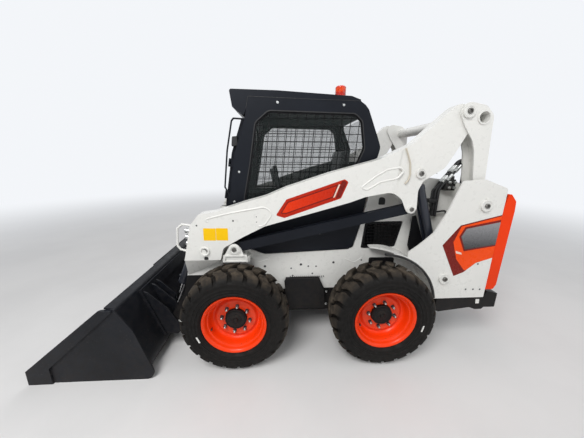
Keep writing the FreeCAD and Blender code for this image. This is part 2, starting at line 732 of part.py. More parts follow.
def grid_holes(quad, columns, rows, bar):
    """Holes of a mesh that fills a four-cornered opening, first corner to third."""
    def at(u, w):
        return tuple((1 - u) * ((1 - w) * quad[0][i] + w * quad[1][i])
                     + u * ((1 - w) * quad[3][i] + w * quad[2][i]) for i in (0, 1))
    across_u = math.dist(quad[0], quad[3])
    along_w = math.dist(quad[0], quad[1])
    du, dw = bar / across_u, bar / along_w
    holes = []
    for i in range(columns):
        for k in range(rows):
            u0, u1 = i / columns + du / 2, (i + 1) / columns - du / 2
            w0, w1 = k / rows + dw / 2, (k + 1) / rows - dw / 2
            holes.append([(*at(u, w), 0) for u, w in ((u0, w0), (u0, w1), (u1, w1), (u1, w0))])
    return holes


def make_side_grilles():
    inset = [(70, 1023), (92, 823), (-168, 834), (-212, 1028)]
    mesh = side_plate("side_grille", [list(GRILLE)] + grid_holes(inset, 6, 5, 7),
                      "sizes.side_outer - 2", "8")
    pair(mesh, "side_grilles")


# Cab

# Front edge of the cab's side, from its foot up, and its back edge, from the roof down
CAB_FRONT = ((1142, 1176, 60), (1078, 1550, 120), (996, 1785, 60))
CAB_BACK = ((185, 1908, 0), (150, 1885, 30), (123, 1855, 40), (37, 1656, 60), (15, 1600, 60),
            (60, 1402, 0))
SIDE_WINDOW = ((1030, 1185, 30), (972, 1474, 60), (925, 1760, 60), (832, 1838, 60),
               (219, 1826, 60), (165, 1779, 50), (133, 1590, 60), (190, 1450, 80), (215, 1185, 50))


def make_cab_sides():
    foot, gap = size("cab_front_low"), size("panel_gap")
    outline = [(foot, 852 + gap, 0)] + list(CAB_FRONT) + [(968, 1926, 0)] + list(CAB_BACK[:-1])
    outline += [(60, 1402, 0), (124, 1010, 0), (172, 832, 20), (214, 803 + gap, 0),
                (883, 772 + gap + 1, 60), (1038, 835 + gap + 1, 60)]
    side = side_plate("cab_side", [outline, list(SIDE_WINDOW)], "sizes.side_outer", "sizes.plate")
    pair(side, "cab_sides")
    return side


def make_cab_roof():
    top = size("cab_roof_top")
    outline = [(1094, top, 15), (1078, 1859, 15), (1003, 1799, 15), (984, 1850, 10),
               (968, 1926, 0), (185, 1908, 0), (186, 1918, 0), (252, 1940, 20), (767, 1966, 0)]
    return node(across("cab_roof", [outline], "2 * sizes.side_outer"), "cab_roof")


def make_cab_rear():
    path = [(x, z, radius) for x, z, radius in CAB_BACK]
    wall = across("cab_back_plate", [strip(path, size("plate"))],
                  "2 * (sizes.side_outer - sizes.plate)")
    window = [[(-310, 1490, 60), (310, 1490, 60), (310, 1830, 60), (-310, 1830, 60)]]
    cut_through(wall, "YZ_Plane", window)
    x, z = pivot("cab_pivot")
    eye = size("cab_pin_radius") + size("fit_gap")
    lug = side_plate("cab_lug", [[(x - 20, z + 20, 19), (x - 20, z - 20, 19), (x + 38, z - 20, 0),
                                  (x + 34, z + 20, 0)]],
                     "sizes.side_outer - sizes.plate - 4", "18", [((x, z), eye)])
    node(fused("cab_rear_wall", [wall, lug, mirrored(lug)]), "cab_rear_wall")


def make_cab_floor():
    """Lower rear panel, seat deck and the skirt in front of it."""
    deck = size("deck_height")
    path = [(680, 800, 0), (680, deck, 20), (132, deck, 20), (66, 1402, 0)]
    floor = across("cab_floor", [strip(path, 8)], "2 * (sizes.side_outer - sizes.plate)")
    node(floor, "cab_floor")


def door_line():
    """Unit vectors up the cab's middle front edge and square to it, ahead."""
    (x0, z0, _), (x1, z1, _) = CAB_FRONT[:2]
    length = math.dist((x0, z0), (x1, z1))
    up = ((x1 - x0) / length, 0, (z1 - z0) / length)
    return up, (up[2], 0, -up[0])


def door_point(along, ahead):
    """A point off the cab's middle front edge, in the side view."""
    up, out = door_line()
    foot = CAB_FRONT[0]
    return (foot[0] + up[0] * along + out[0] * ahead, foot[1] + up[2] * along + out[2] * ahead)


def door_hinge_places():
    """Distances of the door's two hinges up the edge, and their middles."""
    places = []
    for along in (70, 310):
        x, z = door_point(along, size("door_hinge_ahead"))
        places.append((along, (x, size("door_hinge_y"), z)))
    return places


def fixed_door_hinges():
    half = size("hinge_length") / 2
    eye = size("hinge_eye_length") / 2 + 1
    axis = size("door_hinge_ahead")
    back = axis - size("hinge_knuckle_radius") - 2
    halves = []
    for along, at in door_hinge_places():
        steps = ((-half, 0), (half, 0), (half, axis), (eye, axis), (eye, back), (-eye, back),
                 (-eye, axis), (-half, axis))
        outline = [(*door_point(along + s, n), 0) for s, n in steps]
        leaf = side_plate("door_stand", [outline], "sizes.door_hinge_y + 8", "14")
        halves.append(fixed_half("door_hinge", at, door_line()[0], leaf))
    return halves


def swinging_door_hinges():
    eye = size("hinge_eye_length") / 2
    face = size("panel_gap") + size("door_thickness")
    halves = []
    for along, at in door_hinge_places():
        steps = ((-eye, face), (eye, face), (eye, face + 5), (-eye, face + 5))
        outline = [(*door_point(along + s, n), 0) for s, n in steps]
        leaf = side_plate("door_strap", [outline], "sizes.door_hinge_y", "52")
        halves.append(swinging_half("door_swing", at, door_line()[0], leaf))
    return halves


def make_cab_front():
    """Two posts with the door's fixed hinges, the header under the visor, the threshold."""
    inside = size("side_outer") - size("plate")
    foot = size("cab_front_low")
    path = [(foot, 858, 0)] + list(CAB_FRONT)
    post = side_plate("cab_post", [strip(path, 45)], str(inside), "60")
    sill = across("cab_threshold", [strip([(foot, 858, 0), (foot - 4, 1022, 0)], 14)],
                  "2 * (sizes.side_outer - sizes.plate)")
    head = across("cab_header", [[(996, 1785, 0), (984, 1850, 0), (930, 1850, 0), (951, 1770, 0)]],
                  "2 * (sizes.side_outer - sizes.plate)")
    pieces = [post, mirrored(post), sill, head] + fixed_door_hinges()
    node(fused("cab_front_frame", pieces), "cab_front_frame")


def make_screens():
    body = side_plate("side_screen", [list(SIDE_WINDOW)], "sizes.side_outer - 2", "8")
    holes = grid_holes([(940, 1820), (1005, 1205), (210, 1205), (160, 1820)], 9, 7, 9)
    side_cut(body, holes, "0", "8")
    pair(body, "side_screens")


def make_cab_glass():
    side = side_plate("side_glass", [[(1046, 1170, 20), (990, 1474, 60), (938, 1770, 60),
                                      (842, 1853, 60), (212, 1842, 60), (152, 1786, 60),
                                      (118, 1590, 60), (176, 1440, 80), (200, 1170, 40)]],
                      "sizes.side_outer - sizes.plate", "sizes.glass")
    points = shifted([(x, z) for x, z, radius in CAB_BACK], size("plate"))
    inner = [(*toward(points[2], points[3], 40), 0), (*points[3], 48), (*points[4], 48),
             (*toward(points[5], points[4], 40), 0)]
    rear = across("rear_glass", [strip(inner, size("glass"))], "660")
    node(together("cab_glass", [side, mirrored(side), rear]), "cab_glass")


def make_cab_fittings(roof):
    inside = size("side_outer") - size("plate")
    seat_base = doc.addObject("Part::Box", "seat_base")
    seat_base.Length, seat_base.Width, seat_base.Height = 380, 420, 90
    deck = size("deck_height")
    seat_base.Placement.Base = FreeCAD.Vector(size("rear_axle_x") + 190, -210, deck)
    node(seat_base, "seat_base")
    low = deck + 90
    outline = [(200, low, 20), (640, low, 40), (640, low + 90, 40), (330, low + 85, 40),
               (270, low + 510, 40), (190, low + 510, 40), (170, low + 370, 20)]
    node(across("seat", [outline], "460"), "seat")
    console = side_plate("console", [[(300, deck, 0), (672, deck, 0), (790, deck + 175, 40),
                                      (700, deck + 225, 30), (300, deck + 175, 20)]],
                         str(inside - 8), "90")
    lever = rod_between("lever", (740, inside - 50, deck + 185),
                        (790, inside - 70, deck + 355), "14")
    grip = rod_between("grip", (790, inside - 70, deck + 347),
                       (812, inside - 76, deck + 435), "24")
    arm = fused("control", [console, lever, grip])
    pair(arm, "control_levers")
    x, top = 300, 1942
    base = rod_between("beacon_foot", (x, 300, top - 8), (x, 300, top + 24),
                       "sizes.beacon_radius + 6")
    node(less("beacon_base", base, roof), "beacon_base")
    lens = rod_between("beacon", (x, 300, top + 24), (x, 300, top + 96), "sizes.beacon_radius")
    node(lens, "beacon")


def rail(name, points, y, radius):
    """Bent tube in a plane along the machine, mitred through its points."""
    pieces = []
    for k in range(len(points) - 1):
        a, b = points[k], points[k + 1]
        pieces.append(rod_between(name, (a[0], y, a[1]), (b[0], y, b[1]), radius))
        if k:
            ball = doc.addObject("Part::Sphere", name + "_bend")
            ball.setExpression("Radius", radius)
            ball.Placement.Base = FreeCAD.Vector(a[0] + size("rear_axle_x"), y, a[1])
            pieces.append(ball)
    return fused(name + "_tube", pieces)


def make_grab_rails(side):
    """Bent rod ahead of each front post, welded to its edge."""
    radius = size("plate") / 2
    points = [(980, 1782), (1074, 1786), (1088, 1770), (1130, 1570), (1162, 1310), (1126, 1244)]
    bar = rail("grab_bar", points, size("side_outer") - radius, str(radius))
    pair(less("grab_rail", bar, side), "grab_rails")


# Door

def door_path(offset):
    """Front door's back face, parallel to the cab's posts."""
    foot = size("cab_front_low")
    points = [(foot - 4, size("door_bottom"))] + [(x, z) for x, z, radius in CAB_FRONT]
    points = shifted(points, -offset)
    return [(*points[0], 0), (*points[1], 60), (*points[2], 100), (*points[3], 0)]


def make_door():
    back = door_path(size("panel_gap"))
    frame = across("door_plate", [strip(back, -size("door_thickness"))], "2 * sizes.door_half")
    half = size("door_half") - 50
    opening = [(-half, 1082, 50), (half, 1082, 50), (half, 1735, 50), (-half, 1735, 50)]
    cut_through(frame, "YZ_Plane", [opening])
    node(fused("door_frame", [frame] + swinging_door_hinges()), "door_frame")
    pane = across("door_pane", [strip(door_path(size("panel_gap") + 10), -size("glass"))],
                  "2 * sizes.door_half")
    block = start_body("door_opening")
    extrude(block, "Pad", sketch_on(block, "YZ_Plane", [opening]), "4000", midplane=True)
    glass = doc.addObject("Part::Common", "door_glass")
    glass.Base = pane
    glass.Tool = block
    node(glass, "door_glass")


# Tailgate

def make_tailgate():
    """Deep dished door, open to the front, with a louvred centre."""
    rear, half = size("tailgate_rear"), size("tailgate_half")
    low, top, wall = size("tailgate_bottom"), size("tailgate_top"), size("thin_plate")
    front = size("tower_rear") - 15
    outline = [(front, low, 0), (front, top - 95, 0), (-885, top, 0), (-902, top, 15),
               (rear + 6, top - 52, 25), (rear, 1155, 30), (rear + 5, 560, 20),
               (rear + 25, low, 15)]
    shell = across("gate_shell", [outline], "2 * sizes.tailgate_half")
    hollow = [(front + 40, low + wall, 0), (front + 40, top - wall, 0), (-904, top - wall, 10),
              (rear + 6 + wall, top - 54, 22), (rear + wall, 1155, 28), (rear + 5 + wall, 560, 14),
              (rear + 25 + wall, low + wall, 8)]
    sketch = sketch_on(shell, "XZ_Plane", [hollow])
    pocket = extrude(shell, "Pocket", sketch, "2 * (sizes.tailgate_half - sizes.thin_plate)",
                     midplane=True)
    cut_volume(shell, pocket)
    sketch = sketch_on(shell, "YZ_Plane", [[(-360, 640, 0), (360, 640, 0), (360, 1130, 0),
                                            (-360, 1130, 0)]])
    window = extrude(shell, "Pocket", sketch, "8000", midplane=True)
    cut_volume(shell, window)
    node(fused("tailgate", [shell] + swinging_gate_hinges()), "tailgate")
    slats = [(rear + 6, 640, 0), (rear + wall + 4, 640, 0), (rear + wall, 1130, 0),
             (rear + 2, 1130, 0)]
    grille = across("tailgate_grille", [slats], "720")
    slots = []
    for k in range(9):
        z = 668 + 50 * k
        slots.append([(-320, z, 8), (320, z, 8), (320, z + 24, 8), (-320, z + 24, 8)])
    cut_through(grille, "YZ_Plane", slots)
    node(grille, "tailgate_grille")
    slope = 5 / (1155 - 560)
    lamp = [(rear + slope * (1155 - z) - out, z, 0)
            for z, out in ((1040, 0), (1040, 14), (1120, 14), (1120, 0))]
    pair(side_plate("tail_lamp", [lamp], str(half - 60), "110"), "tail_lamps")


# Lift linkage

def make_front_links():
    upper, lower = pivot("arm_lug"), pivot("front_pivot")
    outer = "sizes.lift_plane + sizes.eye_width / 2"
    half = size("front_link_height") / 2
    dx, dz = lower[0] - upper[0], lower[1] - upper[1]
    length = math.hypot(dx, dz)
    nx, nz = -dz / length * half, dx / length * half
    a = toward(upper, lower, 20)
    b = toward(lower, upper, 20)
    bar = [(a[0] + nx, a[1] + nz, 0), (b[0] + nx, b[1] + nz, 0),
           (b[0] - nx, b[1] - nz, 0), (a[0] - nx, a[1] - nz, 0)]
    body = side_plate("front_link", [bar], outer, "sizes.eye_width")
    side_add(body, [], "0", "sizes.eye_width", [(upper, half - 1)])
    side_add(body, [], "0", "sizes.eye_width", [(lower, size("boss_radius") - 2)])
    bore = size("pin_radius") + size("fit_gap")
    side_cut(body, [], "0", "sizes.eye_width", [(upper, bore), (lower, bore)])
    pair(body, "front_links")


# The arm's outer face, from the front of the knee over the top to the rear pin and back below
ARM = ((1320, 1140, 30), (1210, 1156, 40), (1015, 1219, 0), (858, 1263, 0), (707, 1327, 0),
       (406, 1426, 0), (74, 1516, 120), (-145, 1618, 120), (-352, 1812, 80), (-440, 1886, 58),
       (-556, 1800, 58), (-520, 1700, 60), (-460, 1577, 0), (-394, 1458, 60), (-253, 1369, 50),
       (-224, 1300, 50), (-232, 1160, 38), (-180, 1118, 38), (-146, 1170, 20), (-110, 1245, 100),
       (-30, 1292, 100), (158, 1258, 0), (264, 1220, 0), (507, 1151, 0), (866, 1051, 60),
       (1023, 972, 60), (1166, 890, 60), (1190, 800, 0), (1448, 800, 0), (1434, 851, 0),
       (1386, 1060, 60))
ARM_LEG = ((1386, 1040, 0), (1434, 851, 40), (1456, 700, 60), (1492, 520, 120), (1604, 330, 60),
           (1660, 200, 50), (1600, 132, 50), (1545, 176, 50), (1392, 380, 120), (1270, 560, 120),
           (1200, 712, 60), (1190, 860, 0))


def make_arm():
    body = side_plate("lift_arm", [list(ARM)], "sizes.arm_outer", "sizes.arm_width")
    deeper = "sizes.arm_outer - sizes.leg_outer"
    side_add(body, [list(ARM_LEG)], deeper, "sizes.leg_width")
    # The wedge is narrower than the arm's box, on both faces
    wedge = [(-130, 1000, 0), (-60, 1290, 0), (-60, 1480, 0), (-120, 1950, 0), (-700, 1950, 0),
             (-700, 1000, 0)]
    side_cut(body, [wedge], "0", "sizes.arm_outer - sizes.wedge_outer")
    side_cut(body, [wedge], "sizes.arm_outer - sizes.wedge_outer + sizes.wedge_width", "40")
    # Slot for the rod's eye and the front link's eye, open below and behind
    slot = [(-700, 1420, 0), (-420, 1565, 0), (-190, 1545, 60), (-110, 1400, 60), (-40, 1240, 0),
            (-40, 1000, 0), (-700, 1000, 0)]
    side_cut(body, [slot], "sizes.arm_outer - sizes.wedge_outer + sizes.wedge_plate",
             "sizes.wedge_width - 2 * sizes.wedge_plate")
    bore = size("pin_radius") + size("fit_gap")
    side_cut(body, [], "0", "sizes.arm_width", [(pivot("link_top"), bore)])
    side_cut(body, [], deeper, "sizes.leg_width", [(pivot("coupler"), bore)])
    node(body, "lift_arm_left")
    node(mirrored(body, "lift_arm_right"), "lift_arm_right")
    return body


def make_arm_pins():
    """Pins and bosses that the arms carry."""
    boss, pin = "sizes.boss_radius", "sizes.pin_radius"
    outer = size("wedge_outer")
    wall = size("wedge_plate")
    inner = outer - size("wedge_width")
    # name, pivot, from, to, radius
    table = (("lift_pin_boss", pivot("lift_pin"), outer, outer + size("boss_height"), boss + " - 8"),
             ("lug_pin", pivot("arm_lug"), inner + wall, outer - wall, pin),
             ("lug_boss", pivot("arm_lug"), outer, outer + 8, boss + " - 12"),
             ("tube_ring", pivot("cross_tube"), size("arm_outer"), size("arm_outer") + 6, "34"))
    pieces = [cross_rod(name, centre, a, b, radius) for name, centre, a, b, radius in table]
    node(together("arm_pins", pieces + [mirrored(p) for p in pieces]), "arm_pins")


def make_cross_tube():
    """Tube between the arms, with the tilt cylinders' forked stands."""
    centre = pivot("cross_tube")
    half = size("leg_outer") - size("leg_width")
    tube = cross_rod("cross_tube", centre, -half, half, "sizes.cross_tube_radius")
    top = pivot("tilt_base")
    plane = size("tilt_plane")
    outline = [(centre[0] - 40, centre[1] - 20, 0), (centre[0] + 40, centre[1] - 20, 0),
               (top[0] + 34, top[1] - 10, 30), (top[0] + 20, top[1] + 34, 30),
               (top[0] - 34, top[1] + 30, 30)]
    stands = []
    space = size("tilt_barrel_radius") + 3
    for outer in (plane + space + 10, plane - space):
        stands.append(side_plate("tilt_stand", [outline], str(outer), "10"))
    reach = space + 10
    pin = cross_rod("tilt_base_pin", top, plane - reach, plane + reach, "sizes.pin_radius - 4")
    half_set = stands + [pin]
    body = fused("arm_cross_tube", [tube] + half_set + [mirrored(s) for s in half_set])
    node(body, "arm_cross_tube")


def make_coupler_guard(arm):
    """Round-bar loop ahead of the left arm's knee."""
    y = size("arm_outer") - 40
    points = [(1384, 1050), (1452, 1062), (1490, 1030), (1500, 900), (1480, 872), (1432, 858)]
    node(less("coupler_guard", rail("guard_bar", points, y, "8"), arm), "coupler_guard")


REAR_LINK = ((-424, 1823, 50), (-470, 1884, 58), (-602, 1862, 62), (-664, 1800, 50),
             (-668, 1700, 0), (-691, 1376, 0), (-748, 1215, 34), (-708, 1160, 34),
             (-672, 1200, 34), (-603, 1371, 60), (-573, 1567, 80), (-548, 1636, 80),
             (-478, 1730, 60))


def make_rear_links():
    """Pair of box links joined by a torsion tube; each forks round the arm's end."""
    link = side_plate("rear_link", [list(REAR_LINK)], "sizes.rear_link_outer",
                      "sizes.rear_link_width")
    wall = "sizes.plate"
    space = "sizes.rear_link_width - 2 * sizes.plate"
    fork = [(-300, 2000, 0), (-560, 2000, 0), (-566, 1840, 0), (-562, 1700, 60), (-610, 1600, 80),
            (-640, 1472, 80), (-664, 1340, 60), (-700, 1255, 0), (-560, 1150, 0), (-300, 1500, 0)]
    side_cut(link, [fork], wall, space)
    pin = cross_rod("link_top_pin", pivot("link_top"), size("rear_link_outer")
                    - size("rear_link_width"), size("rear_link_outer") + size("boss_height"),
                    "sizes.pin_radius")
    boss = cross_rod("link_top_boss", pivot("link_top"), size("rear_link_outer"),
                     size("rear_link_outer") + size("boss_height"), "sizes.boss_radius")
    half = size("rear_link_outer") + 6
    tube = cross_rod("torsion_tube", pivot("torsion_tube"), -half, half,
                     "sizes.torsion_tube_radius")
    parts = [link, pin, boss]
    union = fused("rear_link_set", parts + [mirrored(p) for p in parts] + [tube])
    bore = cross_rod("torsion_bore", pivot("torsion_tube"), -half, half,
                     "sizes.torsion_tube_radius - sizes.torsion_tube_wall")
    node(less("rear_links", union, bore), "rear_links")


def make_cylinder(name, base, tip, plane, width, barrel, rod, barrel_length, rod_length, boss):
    """A hydraulic cylinder's barrel and rod, on the left and mirrored on the right."""
    y = size(plane)
    low, high = pivot(base), pivot(tip)
    mouth = toward(low, high, size(barrel_length))
    bottom = toward(low, high, boss + 16)
    piston = toward(high, low, size(rod_length))
    eye = size(width) / 2
    bore = " + sizes.fit_gap"
    pin = size("pin_radius") if plane == "lift_plane" else size("pin_radius") - 4
    start = toward(low, high, boss + 12)
    neck = rod_between(name + "_neck", (low[0], y, low[1]), (start[0], y, start[1]), str(eye - 1))
    tube = rod_between(name + "_tube", (start[0], y, start[1]), (mouth[0], y, mouth[1]),
                       "sizes." + barrel)
    low_eye = cross_rod(name + "_low_eye", low, y - eye, y + eye, str(boss))
    inside = rod_between(name + "_inside", (bottom[0], y, bottom[1]),
                         (*[c + (c - d) * 0.01 for c, d in zip((mouth[0],), (bottom[0],))], y,
                          mouth[1] + (mouth[1] - bottom[1]) * 0.01), "sizes." + rod + bore)
    low_bore = cross_rod(name + "_low_bore", low, y - eye, y + eye, "%g" % (pin + 0.3))
    holes = fused(name + "_holes", [inside, low_bore])
    barrel_part = less(name + "_barrel", fused(name + "_outside", [tube, neck, low_eye]), holes)
    pair(barrel_part, name + "_barrels")
    shaft = rod_between(name + "_shaft", (piston[0], y, piston[1]), (high[0], y, high[1]),
                        "sizes." + rod)
    high_eye = cross_rod(name + "_high_eye", high, y - eye, y + eye, str(boss - 2))
    rod_part = less(name + "_rod", fused(name + "_rod_outside", [shaft, high_eye]),
                    cross_rod(name + "_high_bore", high, y - eye, y + eye, "%g" % (pin + 0.3)))
    pair(rod_part, name + "_rods")


# Attachment frame and bucket

def back_point(along, behind):
    """A point by its distance up the bucket's back and behind it."""
    heel = (size("bucket_heel_x"), 0)
    top = (size("bucket_top_x"), size("bucket_height"))
    length = math.dist(heel, top)
    ux, uz = (top[0] - heel[0]) / length, (top[1] - heel[1]) / length
    return heel[0] + ux * along - uz * behind, heel[1] + uz * along + ux * behind


def make_coupler():
    """Plate frame that the bucket hangs on, with ears for the arms and cylinders."""
    thick = size("coupler_thickness")
    plate = across("coupler_plate", [strip([(*back_point(150, 0), 0), (*back_point(575, 0), 0)],
                                           thick)], "2 * sizes.coupler_half")
    windows = [[(-300, 215, 20), (300, 215, 20), (300, 470, 20), (-300, 470, 20)]]
    # Room for the tilt rods' eyes
    for side in (-1, 1):
        a, b = side * (size("tilt_plane") - 28), side * (size("tilt_plane") + 28)
        windows.append([(a, 195, 8), (b, 195, 8), (b, 362, 8), (a, 362, 8)])
    cut_through(plate, "YZ_Plane", windows)
    d = pivot("coupler")
    t = pivot("tilt_pin")
    outline = [(*back_point(152, 10), 0), (d[0] - 20, d[1] - 48, 40), (d[0] - 56, d[1] + 10, 40),
               (t[0] - 46, t[1] + 2, 40), (t[0] - 22, t[1] + 52, 40), (*back_point(530, 40), 20),
               (*back_point(560, 10), 0)]
    gap = size("ear_gap")
    leg_in = size("leg_outer") - size("leg_width")
    # outer face, thickness
    ears = ((size("leg_outer") + 6 + 10, 10), (leg_in - 6, leg_in - 6 - size("tilt_plane")
            - size("tilt_eye_width") / 2 - gap),
            (size("tilt_plane") - size("tilt_eye_width") / 2 - gap, 10))
    plates = [side_plate("coupler_ear", [outline], str(outer), str(width))
              for outer, width in ears]
    pin = cross_rod("coupler_pin", d, leg_in - 6, size("leg_outer") + 6, "sizes.pin_radius")
    half_set = plates + [pin]
    body = fused("coupler_frame", [plate] + half_set + [mirrored(p) for p in half_set])
    node(body, "coupler_frame")


def make_bucket():
    heel, top = size("bucket_heel_x"), (size("bucket_top_x"), size("bucket_height"))
    floor_front = size("bucket_tip") - size("edge_depth")
    wall = size("thin_plate")
    lip = (top[0] + 66, top[1] + 8)
    path = [(*lip, 0), (*top, 30), (heel, 0, size("bucket_heel_radius")), (floor_front, 0, 0)]
    inner_width = "2 * (sizes.bucket_half - 2 * sizes.plate)"
    shell = across("bucket_pan", [strip(path, wall)], inner_width)
    plate = [(floor_front + 60, 0, 0), (heel - 8, 0, 60), (heel + 102, 400, 0), (top[0], top[1], 20),
             (top[0] + 92, top[1] - 6, 20), (size("bucket_tip") - 60, 118, 20),
             (size("bucket_tip") - 60, 0, 0)]
    side = side_plate("bucket_side", [plate], "sizes.bucket_half - sizes.plate", "sizes.plate")
    node(fused("bucket", [shell, side, mirrored(side)]), "bucket")
    tip, thick = size("bucket_tip"), size("edge_thickness")
    edge = [(floor_front, 0, 0), (tip, 0, 0), (tip, 4, 0), (tip - 60, thick, 0),
            (floor_front, thick, 0)]
    cutting = across("cutting_edge", [edge], "2 * (sizes.bucket_half - 2 * sizes.plate)")
    node(cutting, "cutting_edge")
    cutter = [(tip, 0, 0), (tip - 5, 112, 8), (top[0] + 94, top[1] - 4, 8), (top[0] - 4, top[1] - 4, 8),
              (top[0] + 20, top[1] - 24, 0), (tip - 160, 128, 0), (tip - 160, 0, 0)]
    side_cutter = side_plate("side_cutter", [cutter], "sizes.bucket_half", "sizes.plate")
    pair(side_cutter, "side_cutters")


def check_and_write():
    doc.recompute()
    failed = [o.Name for o in doc.Objects if {"Invalid", "Error"} & set(o.State)]
    if failed:
        raise ValueError("not built: " + ", ".join(failed))
    for part in NODES:
        if part.Shape.isNull() or not part.Shape.isValid() or part.Shape.Volume <= 0:
            raise ValueError("bad shape: " + part.Label)
    os.makedirs("parts", exist_ok=True)
    for part in NODES:
        part.Shape.exportStep("parts/%s.step" % part.Label)


place_wheels()
make_axle_housings()
make_frame_sides()
make_belly_pan()
make_footwell()
make_hood()
make_towers()
make_fenders()
make_bumper()
make_steps()
make_front_brackets()
make_frame_pins()
make_engine()
make_side_grilles()
cab_side = make_cab_sides()
cab_roof = make_cab_roof()
make_cab_rear()
make_cab_floor()
make_cab_front()
make_screens()
make_cab_glass()
make_cab_fittings(cab_roof)
make_grab_rails(cab_side)
make_door()
make_tailgate()
make_front_links()
left_arm = make_arm()
make_arm_pins()
make_cross_tube()
make_coupler_guard(left_arm)
make_rear_links()
make_cylinder("lift", "lift_base", "lift_pin", "lift_plane", "eye_width", "lift_barrel_radius",
              "lift_rod_radius", "lift_barrel_length", "lift_rod_length", 40)
make_cylinder("tilt", "tilt_base", "tilt_pin", "tilt_plane", "tilt_eye_width",
              "tilt_barrel_radius", "tilt_rod_radius", "tilt_barrel_length", "tilt_rod_length", 34)
make_coupler()
make_bucket()
check_and_write()
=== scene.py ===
import json
import math

import bmesh
import bpy
from bpy.props import FloatProperty, FloatVectorProperty, IntProperty, PointerProperty
from mathutils import Matrix, Vector


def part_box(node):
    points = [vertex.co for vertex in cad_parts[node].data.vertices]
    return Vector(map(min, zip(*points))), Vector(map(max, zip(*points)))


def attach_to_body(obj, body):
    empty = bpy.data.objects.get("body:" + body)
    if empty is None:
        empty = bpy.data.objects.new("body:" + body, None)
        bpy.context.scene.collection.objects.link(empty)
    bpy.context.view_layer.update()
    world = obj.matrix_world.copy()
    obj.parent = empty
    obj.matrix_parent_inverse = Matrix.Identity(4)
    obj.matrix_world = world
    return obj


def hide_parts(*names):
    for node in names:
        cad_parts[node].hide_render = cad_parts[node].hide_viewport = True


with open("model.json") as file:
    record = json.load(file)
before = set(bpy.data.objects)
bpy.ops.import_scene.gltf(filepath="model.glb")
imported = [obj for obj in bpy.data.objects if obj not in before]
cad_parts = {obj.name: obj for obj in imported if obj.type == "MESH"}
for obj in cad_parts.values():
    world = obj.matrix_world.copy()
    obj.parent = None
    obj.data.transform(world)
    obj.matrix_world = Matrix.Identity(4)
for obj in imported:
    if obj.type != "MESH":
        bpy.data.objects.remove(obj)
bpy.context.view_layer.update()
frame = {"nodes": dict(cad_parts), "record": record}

bl_info = {
    "name": "Compact Loader Finish",
    "version": (1, 0, 0),
    "blender": (4, 5, 0),
    "location": "View3D > Sidebar > Loader",
    "description": "Paint, tyres, screens, hoses, seat and small parts of a compact loader",
    "category": "Object",
}

REAR_AXLE = -745  # from the middle of the machine's length, mm
CORNERS = {"front_left": (1082, 675), "front_right": (1082, -675),
           "rear_left": (0, 675), "rear_right": (0, -675)}
AXLE_HEIGHT = 387
FENDER = 448  # radius of the rear wheel arch
ACROSS, ALONG, UP = (0, 1, 0), (1, 0, 0), (0, 0, 1)


# Sizes and colours that a user would change


def colour(name, description, default):
    return FloatVectorProperty(name=name, description=description, default=default,
                               subtype="COLOR", size=3, min=0, max=1)


def length(name, description, default, low=0.0, high=1000.0):
    return FloatProperty(name=name, description=description + ", mm", default=default,
                         min=low, max=high)


class LoaderColours(bpy.types.PropertyGroup):
    white: colour("White", "Arms, uprights and side walls", (0.76, 0.755, 0.72))
    navy: colour("Navy black", "Cab, bucket and links", (0.0075, 0.0092, 0.0135))
    orange: colour("Orange", "Rims and tailgate", (0.86, 0.046, 0.002))
    black: colour("Black", "Bumper, steps and hubs", (0.007, 0.007, 0.008))
    rubber: colour("Rubber", "Tyres", (0.0082, 0.0073, 0.0066))
    dust: colour("Dust", "Dry soil on the lower parts", (0.17, 0.135, 0.10))
    yellow: colour("Plate yellow", "Blank plates on the arms", (0.93, 0.55, 0.002))


class LoaderTyre(bpy.types.PropertyGroup):
    lugs: IntProperty(name="Lugs", description="Lugs in each of a tyre's two rows", default=22,
                      min=8, max=30)
    edge: length("Lug edge", "Rounding along the lugs' edges", 4.0, 0.5, 8.0)


class LoaderScreen(bpy.types.PropertyGroup):
    wire: length("Wire", "Radius of the screens' wire", 2.6, 1.0, 6.0)
    column: length("Column", "Distance between upright wires", 66.0, 20.0, 200.0)
    row: length("Row", "Distance between level wires", 53.0, 20.0, 200.0)


class LoaderStage(bpy.types.PropertyGroup):
    floor: colour("Floor", "Floor under the machine", (0.78, 0.77, 0.76))
    key: FloatProperty(name="Key lamp", description="Power of the large lamp", default=190.0,
                       min=0.0, unit="POWER")
    fill: FloatProperty(name="Fill lamp", description="Power of the lamp on the other side",
                        default=45.0, min=0.0, unit="POWER")
    sky: FloatProperty(name="Sky", description="Strength of the even light all round",
                       default=0.42, min=0.0)


# Points and faces


def place(x, y, z):
    """Millimetres from the rear axle's foot to metres in the model's frame."""
    return Vector(((x + REAR_AXLE) / 1000, y / 1000, z / 1000))


def rounded(corners, steps=5):
    """Points of an outline whose corners are (across, up, radius)."""
    points = []
    count = len(corners)
    for i, (x, z, radius) in enumerate(corners):
        here = Vector((x, z))
        before = Vector(corners[i - 1][:2]) - here
        after = Vector(corners[(i + 1) % count][:2]) - here
        if radius <= 0 or before.length < 1e-6 or after.length < 1e-6:
            points.append((x, z))
            continue
        half = before.angle(after) / 2
        if half > math.pi / 2 - 0.01:
            points.append((x, z))
            continue
        reach = min(radius / math.tan(half), before.length * 0.49, after.length * 0.49)
        start, end = here + before.normalized() * reach, here + after.normalized() * reach
        for k in range(steps + 1):
            t = k / steps
            p = start * (1 - t) ** 2 + here * 2 * t * (1 - t) + end * t * t
            points.append((p.x, p.y))
    return points


